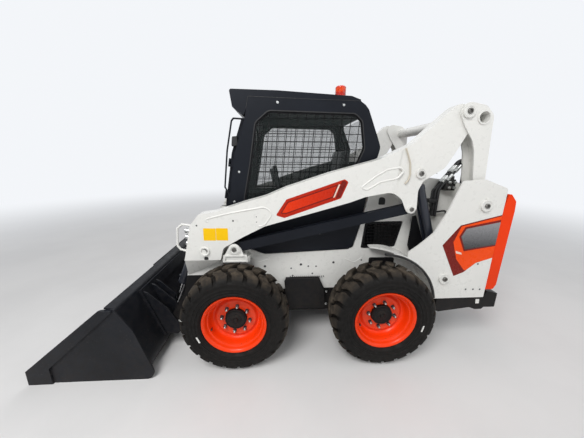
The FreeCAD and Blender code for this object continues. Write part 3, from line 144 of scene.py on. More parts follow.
class Shape:
    """Points and faces of one piece, in millimetres from the rear axle's foot."""

    def __init__(self):
        self.points, self.faces = [], []

    def add(self, points, faces):
        first = len(self.points)
        self.points += [tuple(p) for p in points]
        self.faces += [tuple(first + i for i in f) for f in faces]
        return self

    def mirror(self):
        """The same on the machine's other side as well."""
        first = len(self.points)
        self.points += [(x, -y, z) for x, y, z in self.points]
        self.faces += [tuple(first + i for i in reversed(f)) for f in self.faces]
        return self

    def prism(self, low, high):
        """Solid between two loops of points."""
        n = len(low)
        sides = [(i, (i + 1) % n, (i + 1) % n + n, i + n) for i in range(n)]
        return self.add(list(low) + list(high),
                        [tuple(reversed(range(n))), tuple(range(n, 2 * n))] + sides)

    def slab(self, outline, inner, outer):
        """Plate drawn in the side view, between two distances from the middle."""
        return self.prism([(x, inner, z) for x, z in outline],
                          [(x, outer, z) for x, z in outline])

    def band(self, outline, hole, inner, outer):
        """Plate with an opening; both outlines have as many points."""
        n = len(outline)
        points = [(x, y, z) for y in (inner, outer) for loop in (outline, hole) for x, z in loop]
        faces = []
        for i in range(n):
            j = (i + 1) % n
            faces += [(i, j, n + j, n + i), (2 * n + i, 3 * n + i, 3 * n + j, 2 * n + j),
                      (i, 2 * n + i, 2 * n + j, j), (n + i, n + j, 3 * n + j, 3 * n + i)]
        return self.add(points, faces)

    def turned(self, profile, centre, axis, count=32, closed=False, start=0.0):
        """Profile of (distance along, radius) swung round an axis."""
        along = Vector(axis).normalized()
        side = Vector((0, 0, 1)) if abs(along.z) < 0.9 else Vector((1, 0, 0))
        side = (side - along * side.dot(along)).normalized()
        other = along.cross(side)
        middle = Vector(centre)
        points, faces = [], []
        for k in range(count):
            a = start + 2 * math.pi * k / count
            out = side * math.cos(a) + other * math.sin(a)
            points += [middle + along * d + out * r for d, r in profile]
        n = len(profile)
        last = n if closed else n - 1
        for k in range(count):
            m = (k + 1) % count
            for i in range(last):
                j = (i + 1) % n
                faces.append((k * n + i, k * n + j, m * n + j, m * n + i))
        return self.add(points, faces)

    def tube(self, path, radius, count=10, closed=False):
        """Round bar along a path of points."""
        path = [Vector(p) for p in path]
        n = len(path)
        normal = None
        points, faces = [], []
        for i, here in enumerate(path):
            if closed:
                heading = (path[(i + 1) % n] - path[i - 1]).normalized()
            else:
                heading = (path[min(i + 1, n - 1)] - path[max(i - 1, 0)]).normalized()
            if normal is None:
                normal = heading.orthogonal().normalized()
            normal = (normal - heading * normal.dot(heading)).normalized()
            other = heading.cross(normal)
            for k in range(count):
                a = 2 * math.pi * k / count
                points.append(here + (normal * math.cos(a) + other * math.sin(a)) * radius)
        for i in range(n if closed else n - 1):
            m = (i + 1) % n
            for k in range(count):
                j = (k + 1) % count
                faces.append((i * count + k, i * count + j, m * count + j, m * count + k))
        if not closed:
            faces += [tuple(reversed(range(count))), tuple(range((n - 1) * count, n * count))]
        return self.add(points, faces)

    def bolt(self, centre, axis, across=18, tall=9):
        """Washer and chamfered six-sided head."""
        rim = across * 0.75
        self.turned([(0, 0), (0, rim), (tall * 0.2, rim), (tall * 0.28, rim - 1), (tall * 0.28, 0)],
                    centre, axis, 20)
        flat = across * 0.577
        return self.turned([(0, 0), (0, flat), (tall * 0.85, flat), (tall, flat * 0.82), (tall, 0)],
                           centre, axis, 6, start=0.3)

    def pin_head(self, centre, axis, radius=18, tall=10):
        """Round head with a deep socket."""
        return self.turned([(0, 0), (0, radius), (tall - 2, radius), (tall, radius - 2),
                            (tall, radius * 0.55), (2, radius * 0.5), (2, 0)], centre, axis, 28)

    def box(self, low, high):
        (x0, y0, z0), (x1, y1, z1) = low, high
        return self.prism([(x0, y0, z0), (x1, y0, z0), (x1, y1, z0), (x0, y1, z0)],
                          [(x0, y0, z1), (x1, y0, z1), (x1, y1, z1), (x0, y1, z1)])


def build(name, shape, finish, body, replaced=(), edge=0.0, segments=2, centre=None,
          smooth=35):
    """Makes the object, rounds its edges and lets it ride on a body."""
    mesh = bpy.data.meshes.new(name)
    middle = place(*centre) if centre else Vector((0, 0, 0))
    mesh.from_pydata([place(*p) - middle for p in shape.points], [], shape.faces)
    work = bmesh.new()
    work.from_mesh(mesh)
    bmesh.ops.remove_doubles(work, verts=work.verts, dist=1e-6)
    bmesh.ops.recalc_face_normals(work, faces=work.faces)
    work.to_mesh(mesh)
    work.free()
    mesh.shade_smooth()
    mesh.set_sharp_from_angle(angle=math.radians(smooth))
    return attach(name, mesh, finish, body, replaced, edge, segments, middle)


def attach(name, mesh, finish, body, replaced=(), edge=0.0, segments=2,
           middle=Vector((0, 0, 0))):
    piece = bpy.data.objects.new(name, mesh)
    piece.location = middle
    bpy.context.scene.collection.objects.link(piece)
    if not mesh.materials:
        mesh.materials.append(FINISHES[finish]())
    if edge:
        rounding = piece.modifiers.new("edges", "BEVEL")
        rounding.width = edge / 1000
        rounding.segments = segments
        rounding.limit_method = "ANGLE"
        rounding.angle_limit = math.radians(40)
    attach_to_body(piece, body)
    if replaced:
        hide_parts(*replaced)
    return piece


# Finishes


def put(tree, kind, settings=None, inputs=None):
    """Adds a shader node; an input that is a socket is linked, any other is set."""
    node = tree.nodes.new(kind)
    for key, value in (settings or {}).items():
        setattr(node, key, value)
    for key, value in (inputs or {}).items():
        if isinstance(value, bpy.types.NodeSocket):
            tree.links.new(value, node.inputs[key])
        else:
            node.inputs[key].default_value = value
    return node


def shade(rgb, factor):
    return (*[min(1.0, c * factor) for c in rgb], 1.0)


def made(name):
    """A finish made before, if there is one."""
    return bpy.data.materials.get(name + "_finish")


def blank(name):
    material = bpy.data.materials.new(name + "_finish")
    material.use_nodes = True
    tree = material.node_tree
    tree.nodes.clear()
    surface = put(tree, "ShaderNodeBsdfPrincipled")
    out = put(tree, "ShaderNodeOutputMaterial")
    tree.links.new(surface.outputs[0], out.inputs[0])
    return material, tree, surface


def mixed(tree, factor, a, b):
    node = put(tree, "ShaderNodeMix", {"data_type": "RGBA"})
    for index, value in ((0, factor), (6, a), (7, b)):
        if isinstance(value, bpy.types.NodeSocket):
            tree.links.new(value, node.inputs[index])
        else:
            node.inputs[index].default_value = value
    return node.outputs[2]


def speckle(tree, where, scale, detail=4.0, low=0.4, high=0.6, rough=0.55):
    """Noise stretched so that it runs from 0 at low to 1 at high."""
    noise = put(tree, "ShaderNodeTexNoise", None, {"Vector": where, "Scale": scale,
                                                   "Detail": detail, "Roughness": rough})
    ramp = put(tree, "ShaderNodeMapRange", None, {"Value": noise.outputs[0], 1: low, 2: high})
    return ramp.outputs[0]


def times(tree, a, b):
    return put(tree, "ShaderNodeMath", {"operation": "MULTIPLY"}, {0: a, 1: b}).outputs[0]


def grade(tree, value, low, high, to_low=0.0, to_high=1.0):
    return put(tree, "ShaderNodeMapRange", None,
               {"Value": value, 1: low, 2: high, 3: to_low, 4: to_high}).outputs[0]


def coat(name, rgb, rough=(0.28, 0.45), metal=0.0, dusty=0.5, dust_top=1.0, vary=0.10,
         grain=0.05, grain_scale=500.0, chips=0.0, chip_rgb=(0.16, 0.15, 0.14), radial=False,
         gleam=0.5, ring=None):
    """Paint, rubber, plastic or metal with uneven colour, dust, chips and grain."""
    if made(name):
        return made(name)
    material, tree, surface = blank(name)
    where = put(tree, "ShaderNodeTexCoord").outputs["Object"]
    split = put(tree, "ShaderNodeSeparateXYZ", None, {0: where})
    cloud = speckle(tree, where, 2.3, 6.0, 0.35, 0.65)
    fine = speckle(tree, where, 31.0, 5.0, 0.38, 0.66)
    tone = mixed(tree, cloud, shade(rgb, 1 - vary), shade(rgb, 1 + vary))
    if radial or ring:
        flat = put(tree, "ShaderNodeCombineXYZ", None,
                   {0: split.outputs[0], 2: split.outputs[2]}).outputs[0]
        reach = put(tree, "ShaderNodeVectorMath", {"operation": "LENGTH"}, {0: flat}).outputs[1]
        low = grade(tree, reach, 0.352, 0.386)
        if ring:
            inner, outer = ring
            low = times(tree, grade(tree, reach, inner, inner + 0.012),
                        grade(tree, reach, outer, outer - 0.025))
    else:
        low = grade(tree, split.outputs[2], dust_top, 0.0)
    soil = times(tree, times(tree, low, grade(tree, fine, 0.0, 1.0, 0.25, 1.0)),
                 grade(tree, cloud, 0.0, 1.0, 0.45 * dusty, dusty))
    dust_rgb = (*bpy.context.scene.loader_colours.dust, 1.0)
    tone = mixed(tree, soil, tone, dust_rgb)
    if chips:
        nick = speckle(tree, where, 75.0, 3.0, 0.70 - chips * 0.08, 0.72 - chips * 0.07, 0.7)
        scuff = times(tree, nick, speckle(tree, where, 5.0, 3.0, 0.48, 0.60))
        tone = mixed(tree, scuff, tone, (*chip_rgb, 1.0))
    tree.links.new(tone, surface.inputs["Base Color"])
    polish = grade(tree, fine, 0.0, 1.0, rough[0], rough[1])
    worn = put(tree, "ShaderNodeMath", {"operation": "ADD", "use_clamp": True},
               {0: polish, 1: times(tree, soil, 0.45)}).outputs[0]
    tree.links.new(worn, surface.inputs["Roughness"])
    surface.inputs["Metallic"].default_value = metal
    surface.inputs["Specular IOR Level"].default_value = gleam
    peel = put(tree, "ShaderNodeTexNoise", None,
               {"Vector": where, "Scale": grain_scale, "Detail": 2.0}).outputs[0]
    first = put(tree, "ShaderNodeBump", None, {"Strength": grain, "Distance": 0.002,
                                               "Height": peel}).outputs[0]
    second = put(tree, "ShaderNodeBump", None, {"Strength": 0.06, "Distance": 0.004,
                                                "Height": cloud, "Normal": first}).outputs[0]
    tree.links.new(second, surface.inputs["Normal"])
    return material


def hues():
    return bpy.context.scene.loader_colours


def white_paint():
    return coat("white_paint", tuple(hues().white), (0.26, 0.38), dusty=0.05, dust_top=0.60,
                vary=0.018, grain=0.02)


def navy_paint():
    return coat("navy_paint", tuple(hues().navy), (0.38, 0.52), dusty=0.07, dust_top=1.1,
                vary=0.18, grain=0.07, gleam=0.15)


def bucket_paint():
    return coat("bucket_paint", tuple(hues().navy), (0.36, 0.58), dusty=0.14, dust_top=0.9,
                vary=0.30, grain=0.10, chips=0.8, chip_rgb=(0.05, 0.047, 0.044), gleam=0.17)


def orange_paint():
    return coat("orange_paint", tuple(hues().orange), (0.30, 0.42), dusty=0.04, dust_top=1.2,
                vary=0.06, grain=0.03, gleam=0.14)


def rim_paint():
    return coat("rim_paint", tuple(hues().orange), (0.28, 0.44), dusty=0.34, ring=(0.082, 0.172),
                vary=0.09, grain=0.03, chips=0.2, chip_rgb=(0.25, 0.05, 0.02), gleam=0.28)


def black_paint():
    return coat("black_paint", tuple(hues().black), (0.42, 0.62), dusty=0.14, dust_top=0.9,
                vary=0.25, grain=0.08, gleam=0.15)


def tyre_rubber():
    return coat("tyre_rubber", tuple(hues().rubber), (0.62, 0.85), dusty=0.66, vary=0.30,
                grain=0.25, grain_scale=260.0, radial=True, gleam=0.18)


def cylinder_paint():
    return coat("cylinder_paint", (0.016, 0.019, 0.028), (0.30, 0.42), dusty=0.15, vary=0.2)


def chrome():
    return coat("chrome_rod", (0.72, 0.72, 0.73), (0.06, 0.16), metal=1.0, dusty=0.05, vary=0.04,
                grain=0.01)


def steel():
    return coat("bare_steel", (0.34, 0.33, 0.32), (0.28, 0.50), metal=1.0, dusty=0.25,
                dust_top=0.3, vary=0.25, grain=0.10, chips=0.9, chip_rgb=(0.20, 0.12, 0.07))


def pin_steel():
    return coat("pin_steel", (0.15, 0.145, 0.135), (0.34, 0.5), metal=0.7, dusty=0.2, vary=0.2,
                grain=0.08)


# Grey painted as the shade inside the cross tube's bore.
def bore_shade_grey():
    return coat("bore_shade_grey", (0.20, 0.20, 0.195), (0.45, 0.6), dusty=0.2, vary=0.15, grain=0.1)


def sealant():
    return coat("sealant", (0.52, 0.475, 0.39), (0.6, 0.8), dusty=0.2, vary=0.22, grain=0.3,
                grain_scale=220.0)


def worn_edge():
    return coat("worn_edge", (0.075, 0.075, 0.078), (0.34, 0.55), metal=0.75, dusty=0.25,
                dust_top=0.25, vary=0.35, grain=0.12, chips=0.9, chip_rgb=(0.20, 0.18, 0.16))


def zinc():
    return coat("zinc_plate", (0.52, 0.53, 0.52), (0.25, 0.42), metal=1.0, dusty=0.15, vary=0.12,
                grain=0.05)


def dark_zinc():
    return coat("dark_zinc", (0.09, 0.095, 0.10), (0.28, 0.45), metal=0.9, dusty=0.12, vary=0.2)


def iron():
    return coat("cast_iron", (0.035, 0.034, 0.033), (0.55, 0.8), metal=0.3, dusty=0.4, vary=0.3,
                grain=0.3, grain_scale=300.0)


def plastic():
    return coat("black_plastic", (0.012, 0.012, 0.013), (0.42, 0.58), dusty=0.10, vary=0.15,
                grain=0.15, grain_scale=900.0)


# Black rubber for hoses and seals. The same black is also the painted shade inside holes and slots.
def hose_rubber_and_hole_shade():
    return coat("hose_rubber_and_hole_shade", (0.009, 0.009, 0.010), (0.45, 0.62), dusty=0.12, vary=0.2,
                grain=0.25, grain_scale=1100.0)


def vinyl():
    return coat("seat_vinyl", (0.014, 0.014, 0.016), (0.42, 0.60), dusty=0.05, vary=0.18,
                grain=0.35, grain_scale=620.0)


def lens_red():
    return coat("lamp_red", (0.42, 0.008, 0.006), (0.10, 0.18), dusty=0.08, vary=0.12, grain=0.02)


def yellow_plate():
    return coat("plate_yellow", tuple(hues().yellow), (0.30, 0.42), dusty=0.03, vary=0.03,
                gleam=0.2)


def stripe_orange():
    return coat("stripe_orange", (0.88, 0.072, 0.003), (0.24, 0.34), dusty=0.02, vary=0.08,
                gleam=0.2)


def stripe_rim():
    return coat("stripe_rim", (0.44, 0.017, 0.003), (0.24, 0.34), dusty=0.02, vary=0.12,
                gleam=0.2)


def stripe_red():
    """Fades along the arm from deep red at the rear to bright red in front."""
    if made("stripe_red"):
        return made("stripe_red")
    material, tree, surface = blank("stripe_red")
    where = put(tree, "ShaderNodeTexCoord").outputs["Object"]
    split = put(tree, "ShaderNodeSeparateXYZ", None, {0: where})
    patch = speckle(tree, where, 30.0, 3.0)
    fade = grade(tree, split.outputs[0], -0.42, 0.02)
    tone = mixed(tree, fade, (0.46, 0.018, 0.004, 1), (0.80, 0.040, 0.004, 1))
    tree.links.new(mixed(tree, times(tree, patch, 0.10), tone, (0.55, 0.024, 0.005, 1)),
                   surface.inputs["Base Color"])
    tree.links.new(grade(tree, patch, 0, 1, 0.24, 0.34), surface.inputs["Roughness"])
    surface.inputs["Specular IOR Level"].default_value = 0.2
    return material


def stripe_dark():
    return coat("stripe_maroon", (0.17, 0.010, 0.006), (0.24, 0.34), dusty=0.02, vary=0.25,
                gleam=0.2)


def stripe_grey():
    """Fades from grey at the top to near black below."""
    if made("stripe_grey"):
        return made("stripe_grey")
    material, tree, surface = blank("stripe_grey")
    where = put(tree, "ShaderNodeTexCoord").outputs["Object"]
    split = put(tree, "ShaderNodeSeparateXYZ", None, {0: where})
    fade = grade(tree, split.outputs[2], 0.87, 1.08)
    patch = speckle(tree, where, 40.0, 3.0)
    tone = mixed(tree, fade, (0.016, 0.017, 0.02, 1), (0.30, 0.30, 0.31, 1))
    tree.links.new(mixed(tree, times(tree, patch, 0.12), tone, (0.1, 0.1, 0.1, 1)),
                   surface.inputs["Base Color"])
    tree.links.new(grade(tree, patch, 0, 1, 0.24, 0.34), surface.inputs["Roughness"])
    return material


# Pale colour for the slash on the arm decal and for a painted highlight on the upright's decal.
def pale_stripe_and_highlight():
    return coat("pale_stripe_and_highlight", (0.80, 0.62, 0.52), (0.22, 0.32), dusty=0.05, vary=0.10)


def glass():
    if made("window_glass"):
        return made("window_glass")
    material, tree, surface = blank("window_glass")
    where = put(tree, "ShaderNodeTexCoord").outputs["Object"]
    film = speckle(tree, where, 6.0, 6.0, 0.35, 0.7)
    tree.links.new(mixed(tree, film, (0.020, 0.030, 0.028, 1), (0.035, 0.045, 0.042, 1)),
                   surface.inputs["Base Color"])
    tree.links.new(grade(tree, film, 0, 1, 0.02, 0.07), surface.inputs["Roughness"])
    tree.links.new(grade(tree, film, 0, 1, 0.20, 0.26), surface.inputs["Alpha"])
    return material


def beacon_lens():
    if made("beacon_lens"):
        return made("beacon_lens")
    material, tree, surface = blank("beacon_lens")
    where = put(tree, "ShaderNodeTexCoord").outputs["Object"]
    patch = speckle(tree, where, 25.0, 3.0)
    split = put(tree, "ShaderNodeSeparateXYZ", None, {0: where})
    # Brighter band round the lens's middle height: a painted highlight.
    lit_band = times(tree, grade(tree, split.outputs[2], 1.985, 2.0),
                 grade(tree, split.outputs[2], 2.03, 2.015))
    tone = mixed(tree, lit_band, (0.62, 0.018, 0.004, 1), (0.95, 0.085, 0.008, 1))
    tree.links.new(mixed(tree, times(tree, patch, 0.2), tone, (0.5, 0.02, 0.005, 1)),
                   surface.inputs["Base Color"])
    tree.links.new(grade(tree, patch, 0, 1, 0.10, 0.20), surface.inputs["Roughness"])
    surface.inputs["Coat Weight"].default_value = 0.4
    return material


FINISHES = {
    "white_paint": white_paint, "dark_paint": navy_paint, "orange_paint": orange_paint,
    "black_paint": black_paint, "tyre_rubber": tyre_rubber, "cylinder_paint": cylinder_paint,
    "chrome_rod": chrome, "bare_steel": steel, "iron": iron, "window_glass": glass,
    "seat_vinyl": vinyl, "black_plastic": plastic, "beacon_plastic": beacon_lens,
    "lamp_plastic": lens_red, "bucket": bucket_paint, "rim": rim_paint, "zinc": zinc,
    "dark_zinc": dark_zinc, "hose": hose_rubber_and_hole_shade, "yellow": yellow_plate,
    "stripe_orange": stripe_orange, "stripe_rim": stripe_rim, "stripe_red": stripe_red, "stripe_maroon": stripe_dark,
    "stripe_grey": stripe_grey, "pale_stripe_and_highlight": pale_stripe_and_highlight, "worn_edge": worn_edge,
    "pin_steel": pin_steel, "bore_shade_grey": bore_shade_grey, "sealant": sealant,
}


def finish_nodes():
    """Gives each CAD node that stays the finish of its slot."""
    slots = {row["node"]: row["material_slot"] for row in frame["record"]["subparts"]}
    own = {"bucket": "bucket", "side_cutters": "bucket", "coupler_frame": "bucket",
           "cutting_edge": "worn_edge"}
    for name, node in frame["nodes"].items():
        material = FINISHES[own.get(name, slots[name])]()
        if not node.material_slots:
            node.data.materials.append(material)
        for holder in node.material_slots:
            holder.material = material


# Wheels

# Half of the tyre's section: distance from its middle, radius
TYRE_HALF = ((108, 210), (109, 228), (114, 231), (121, 236), (124.5, 241), (129, 244),
             (130.5, 248), (130, 254), (126, 257), (125, 264), (128.6, 266), (129, 270),
             (126.5, 272), (127, 288), (130.6, 290), (131, 294), (129, 297), (128.4, 314),
             (130.6, 318), (131.6, 323), (131.6, 328), (130.2, 332), (127, 336), (121, 343),
             (110, 349), (88, 353), (50, 355.5), (18, 356.5))
# Along a lug, from the tread's middle over the shoulder: distance from the middle, radius on
# top, radius at the foot, leading edge, trailing edge
LUG = ((4, 384, 350, -28, 15), (11, 387, 350, -35, 22), (34, 387, 350, -37, 30),
       (50, 386.4, 350, -29, 44), (68, 384.5, 350, -12, 67), (88, 380.5, 348, 0, 79),
       (104, 373, 345, 3, 82), (115, 363, 340, 4, 83), (122, 354, 334, 5, 83),
       (127, 345, 328, 6, 82), (129.6, 337, 322, 8, 79))


def lug_shape(shape, turn, side):
    columns = 5
    top, foot = [], []
    for y, high, low, lead, trail in LUG:
        for k in range(columns + 1):
            angle = turn + (lead + (trail - lead) * k / columns) / 387
            for row, radius in ((top, high), (foot, low)):
                row.append((-radius * math.sin(angle), side * y, radius * math.cos(angle)))
    wide = columns + 1
    rows = len(LUG)
    faces = [(i * wide + k, i * wide + k + 1, (i + 1) * wide + k + 1, (i + 1) * wide + k)
             for i in range(rows - 1) for k in range(columns)]
    ring = [k for k in range(wide)] + [i * wide + columns for i in range(1, rows)]
    ring += [(rows - 1) * wide + k for k in range(columns - 1, -1, -1)]
    ring += [i * wide for i in range(rows - 2, 0, -1)]
    under = len(top)
    for i, here in enumerate(ring):
        after = ring[(i + 1) % len(ring)]
        faces.append((here, after, under + after, under + here))
    shape.add([(x - REAR_AXLE, y, z) for x, y, z in top + foot], faces)


def tyre_mesh(sizes):
    shape = Shape()
    section = [(y, r) for y, r in TYRE_HALF] + [(-y, r) for y, r in reversed(TYRE_HALF)]
    shape.turned(section, (-REAR_AXLE, 0, 0), ACROSS, 160, closed=True)
    for k in range(sizes.lugs):
        step = 2 * math.pi / sizes.lugs
        lug_shape(shape, k * step, 1)
        lug_shape(shape, (k + 0.5) * step, -1)
    return shape


def shared_mesh(name, shape, smooth=35):
    mesh = bpy.data.meshes.new(name)
    mesh.from_pydata([place(*p) for p in shape.points], [], shape.faces)
    work = bmesh.new()
    work.from_mesh(mesh)
    bmesh.ops.remove_doubles(work, verts=work.verts, dist=1e-6)
    bmesh.ops.recalc_face_normals(work, faces=work.faces)
    work.to_mesh(mesh)
    work.free()
    mesh.shade_smooth()
    mesh.set_sharp_from_angle(angle=math.radians(smooth))
    return mesh


def at_corners(name, mesh, finish, node=None, edge=0.0):
    """The same mesh on all four wheels, turned round on the right."""
    for corner, (x, y) in CORNERS.items():
        replaced = (node + "_" + corner,) if node else ()
        piece = bpy.data.objects.new("%s_%s" % (name, corner), mesh)
        piece.location = place(x, y, AXLE_HEIGHT)
        if y < 0:
            piece.rotation_euler = (0, 0, math.pi)
        bpy.context.scene.collection.objects.link(piece)
        if not mesh.materials:
            mesh.materials.append(FINISHES[finish]())
        if edge:
            rounding = piece.modifiers.new("edges", "BEVEL")
            rounding.width = edge / 1000
            rounding.segments = 2
            rounding.limit_method = "ANGLE"
            rounding.angle_limit = math.radians(50)
        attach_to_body(piece, "wheel_" + corner)
        if replaced:
            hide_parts(*replaced)


def add_tyres():
    sizes = bpy.context.scene.loader_tyre
    mesh = shared_mesh("lugged_tyre", tyre_mesh(sizes), 32)
    at_corners("lugged_tyre", mesh, "tyre_rubber", "tyre", sizes.edge)


RIM_SECTION = ((-116, 225), (-108, 226.5), (-108, 209), (108, 209), (108, 226.5), (113, 226.5),
               (116, 224), (116, 219), (113, 214), (107, 207), (98, 202), (86, 200.5), (81, 197),
               (78, 190), (70, 186), (60, 184), (46, 183), (34, 181), (22, 176), (14, 168),
               (12, 160), (15, 153), (21, 148), (26, 143), (28, 137), (27, 128), (25.5, 118),
               (25.5, 88), (24, 79), (15, 79), (15, 126), (8, 146), (2, 160), (2, 176),
               (-4, 190), (-20, 197), (-92, 199), (-106, 206), (-112, 214), (-116, 220))


def add_rims():
    middle = (-REAR_AXLE, 0, 0)
    rim = Shape().turned(RIM_SECTION, middle, ACROSS, 112, closed=True)
    at_corners("dished_rim", shared_mesh("dished_rim", rim, 28), "rim", "rim", 0.8)
    nuts, seats, studs, valve = Shape(), Shape(), Shape(), Shape()
    for k in range(8):
        angle = math.radians(8 + 45 * k)
        centre = (middle[0] + 101.6 * math.cos(angle), 25.5, 101.6 * math.sin(angle))
        seats.turned([(0, 0), (0, 19), (2.5, 17.5), (2.5, 0)], centre, ACROSS, 20)
        nuts.turned([(0, 0), (0, 16), (4, 14.5), (4, 13), (20, 13), (22.5, 10), (22.5, 0)], centre,
                    ACROSS, 6, start=angle)
        studs.turned([(0, 0), (0, 6.8), (30, 6.8), (31.5, 5.5), (31.5, 0)], centre, ACROSS, 12)
    valve.tube([(middle[0] + 176, 40, -62), (middle[0] + 172, 54, -60),
                (middle[0] + 170, 72, -59)], 4.2, 10)
    valve.turned([(0, 0), (0, 6), (10, 6), (13, 4), (13, 0)], (middle[0] + 170, 66, -59),
                 (0, 1, 0), 12)
    at_corners("nut_seats", shared_mesh("nut_seats", seats), "rim")
    at_corners("wheel_nuts", shared_mesh("wheel_nuts", nuts), "dark_zinc", edge=0.6)
    at_corners("wheel_studs", shared_mesh("wheel_studs", studs), "zinc")
    at_corners("tyre_valve", shared_mesh("tyre_valve", valve), "dark_zinc")


def add_tyre_ticks():
    """Painted balance mark on the wall of each left tyre."""
    for corner, radius, degrees in (("front_left", 268, -21), ("rear_left", 280, 193)):
        x, y = CORNERS[corner]
        turn = math.radians(degrees)
        out = Vector((math.cos(turn), math.sin(turn)))
        along = Vector((-out.y, out.x))
        middle = Vector((x, AXLE_HEIGHT)) + out * radius
        outline = [middle + out * a + along * b for a, b in ((-5, -25), (5, -25), (5, 25), (-5, 25))]
        build("tyre_tick_" + corner, Shape().slab([tuple(p) for p in outline], y + 124, y + 129.6),
              "white_paint", "wheel_" + corner, centre=(x, y, AXLE_HEIGHT))


def add_hubs():
    """Stepped cap over each shaft's end."""
    low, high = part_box("hub_front_left")
    face = high.y * 1000 - 675
    cap = Shape()
    middle = (-REAR_AXLE, face, 0)
    cap.turned([(0, 76), (0, 66), (-3, 63), (-3, 44), (1.5, 41), (3, 34), (3, 0)], middle,
               ACROSS, 64)
    cap.turned([(3, 0), (3, 17), (8, 15), (8, 0)], middle, ACROSS, 6)
    for k in range(3):
        angle = math.radians(30 + 120 * k)
        cap.turned([(-3, 0), (-3, 5), (1, 5), (1, 0)],
                   (middle[0] + 54 * math.cos(angle), face, 54 * math.sin(angle)), ACROSS, 6)
    at_corners("hub_cap", shared_mesh("hub_cap", cap), "black_paint")


# Cab

SIDE_WINDOW = ((1030, 1185, 30), (972, 1474, 60), (925, 1760, 60), (832, 1838, 60),
               (219, 1826, 60), (165, 1779, 50), (133, 1590, 60), (190, 1450, 80), (215, 1185, 50))


def inside_spans(start, end, outline):
    """Parts of a line that lie inside an outline, as pairs of points."""
    (x0, z0), (x1, z1) = start, end
    hits = []
    for i, (ax, az) in enumerate(outline):
        bx, bz = outline[(i + 1) % len(outline)]
        dx, dz, ex, ez = x1 - x0, z1 - z0, bx - ax, bz - az
        cross = dx * ez - dz * ex
        if abs(cross) < 1e-9:
            continue
        t = ((ax - x0) * ez - (az - z0) * ex) / cross
        s = ((ax - x0) * dz - (az - z0) * dx) / cross
        if 0 <= s < 1:
            hits.append(t)
    hits.sort()
    return [((x0 + (x1 - x0) * a, z0 + (z1 - z0) * a), (x0 + (x1 - x0) * b, z0 + (z1 - z0) * b))
            for a, b in zip(hits[::2], hits[1::2])]


def inset(outline, distance):
    """An outline moved inward, point by point."""
    cx = sum(p[0] for p in outline) / len(outline)
    cz = sum(p[1] for p in outline) / len(outline)
    moved = []
    for i, (x, z) in enumerate(outline):
        ax, az = outline[i - 1]
        bx, bz = outline[(i + 1) % len(outline)]
        normal = Vector((-(bz - az), bx - ax)).normalized()
        if normal.dot(Vector((cx - x, cz - z))) < 0:
            normal = -normal
        moved.append((x + normal.x * distance, z + normal.y * distance))
    return moved


def add_screens():
    sizes = bpy.context.scene.loader_screen
    edge = rounded(SIDE_WINDOW)
    shape = Shape()
    shape.band(inset(edge, -1), inset(edge, 13), 429.5, 433.5)
    z = 1185 + sizes.row * 0.5
    while z < 1840:
        for (ax, az), (bx, bz) in inside_spans((0, z), (1200, z), edge):
            shape.tube([(ax, 435.4, az), (bx, 435.4, bz)], sizes.wire, 6)
        z += sizes.row
    x = 133 + sizes.column * 0.4
    while x < 1080:
        lean = -0.072 - 0.035 * (x - 133) / 900
        for (ax, az), (bx, bz) in inside_spans((x, 1185), (x + lean * 660, 1845), edge):
            shape.tube([(ax, 431.5, az), (bx, 431.5, bz)], sizes.wire, 6)
        x += sizes.column
    build("wire_screens", shape.mirror(), "black_paint", "cab", ("side_screens",))


def add_cab_trim():
    bolts = Shape()
    for x, z in ((766, 1890), (304, 1881), (1052, 1421), (178, 1400), (1098, 1200)):
        bolts.bolt((x, 440, z), ACROSS, 11, 5)
    build("cab_bolts", bolts.mirror(), "zinc", "cab")
    seal = Shape()
    edge = rounded(SIDE_WINDOW)
    seal.band(inset(edge, -5), inset(edge, 3), 439.5, 443)
    build("window_seals", seal.mirror(), "hose", "cab", edge=1.2)
    seam = Shape()
    seam.tube([(984, 441, 1850), (976, 441, 1885), (969, 441, 1924)], 1.6, 6)
    seam.tube([(185, 440, 1909), (500, 440, 1914), (968, 440, 1926)], 2.0, 6)
    build("roof_seams", seam.mirror(), "hose", "cab")
    lamps, lenses = Shape(), Shape()
    for y in (402, -402):
        lamps.prism([(1052, y - 17, 1606), (1052, y + 17, 1606), (1058, y + 17, 1672),
                     (1058, y - 17, 1672)],
                    [(1098, y - 26, 1600), (1098, y + 26, 1600), (1092, y + 26, 1668),
                     (1092, y - 26, 1668)])
        lenses.prism([(1097.5, y - 20, 1606), (1097.5, y + 20, 1606), (1091.5, y + 20, 1662),
                      (1091.5, y - 20, 1662)],
                     [(1101, y - 18, 1609), (1101, y + 18, 1609), (1096, y + 18, 1659),
                      (1096, y - 18, 1659)])
    build("work_lamps", lamps, "black_plastic", "cab", edge=3)
    build("lamp_lenses", lenses, "zinc", "cab", edge=1)
    ribs = Shape()
    for k in range(5):
        y = -240 + 120 * k
        ribs.prism([(250, y - 22, 1938), (760, y - 22, 1962), (760, y + 22, 1962), (250, y + 22, 1938)],
                   [(262, y - 14, 1945), (748, y - 14, 1968.5), (748, y + 14, 1968.5),
                    (262, y + 14, 1945)])
    build("roof_ribs", ribs, "dark_paint", "cab", edge=2)


def door_point(along, ahead):
    """A point off the cab's middle front edge, in the side view."""
    up = Vector((-64, 374)).normalized()
    return (1142 + up.x * along + up.y * ahead, 1176 + up.y * along - up.x * ahead)


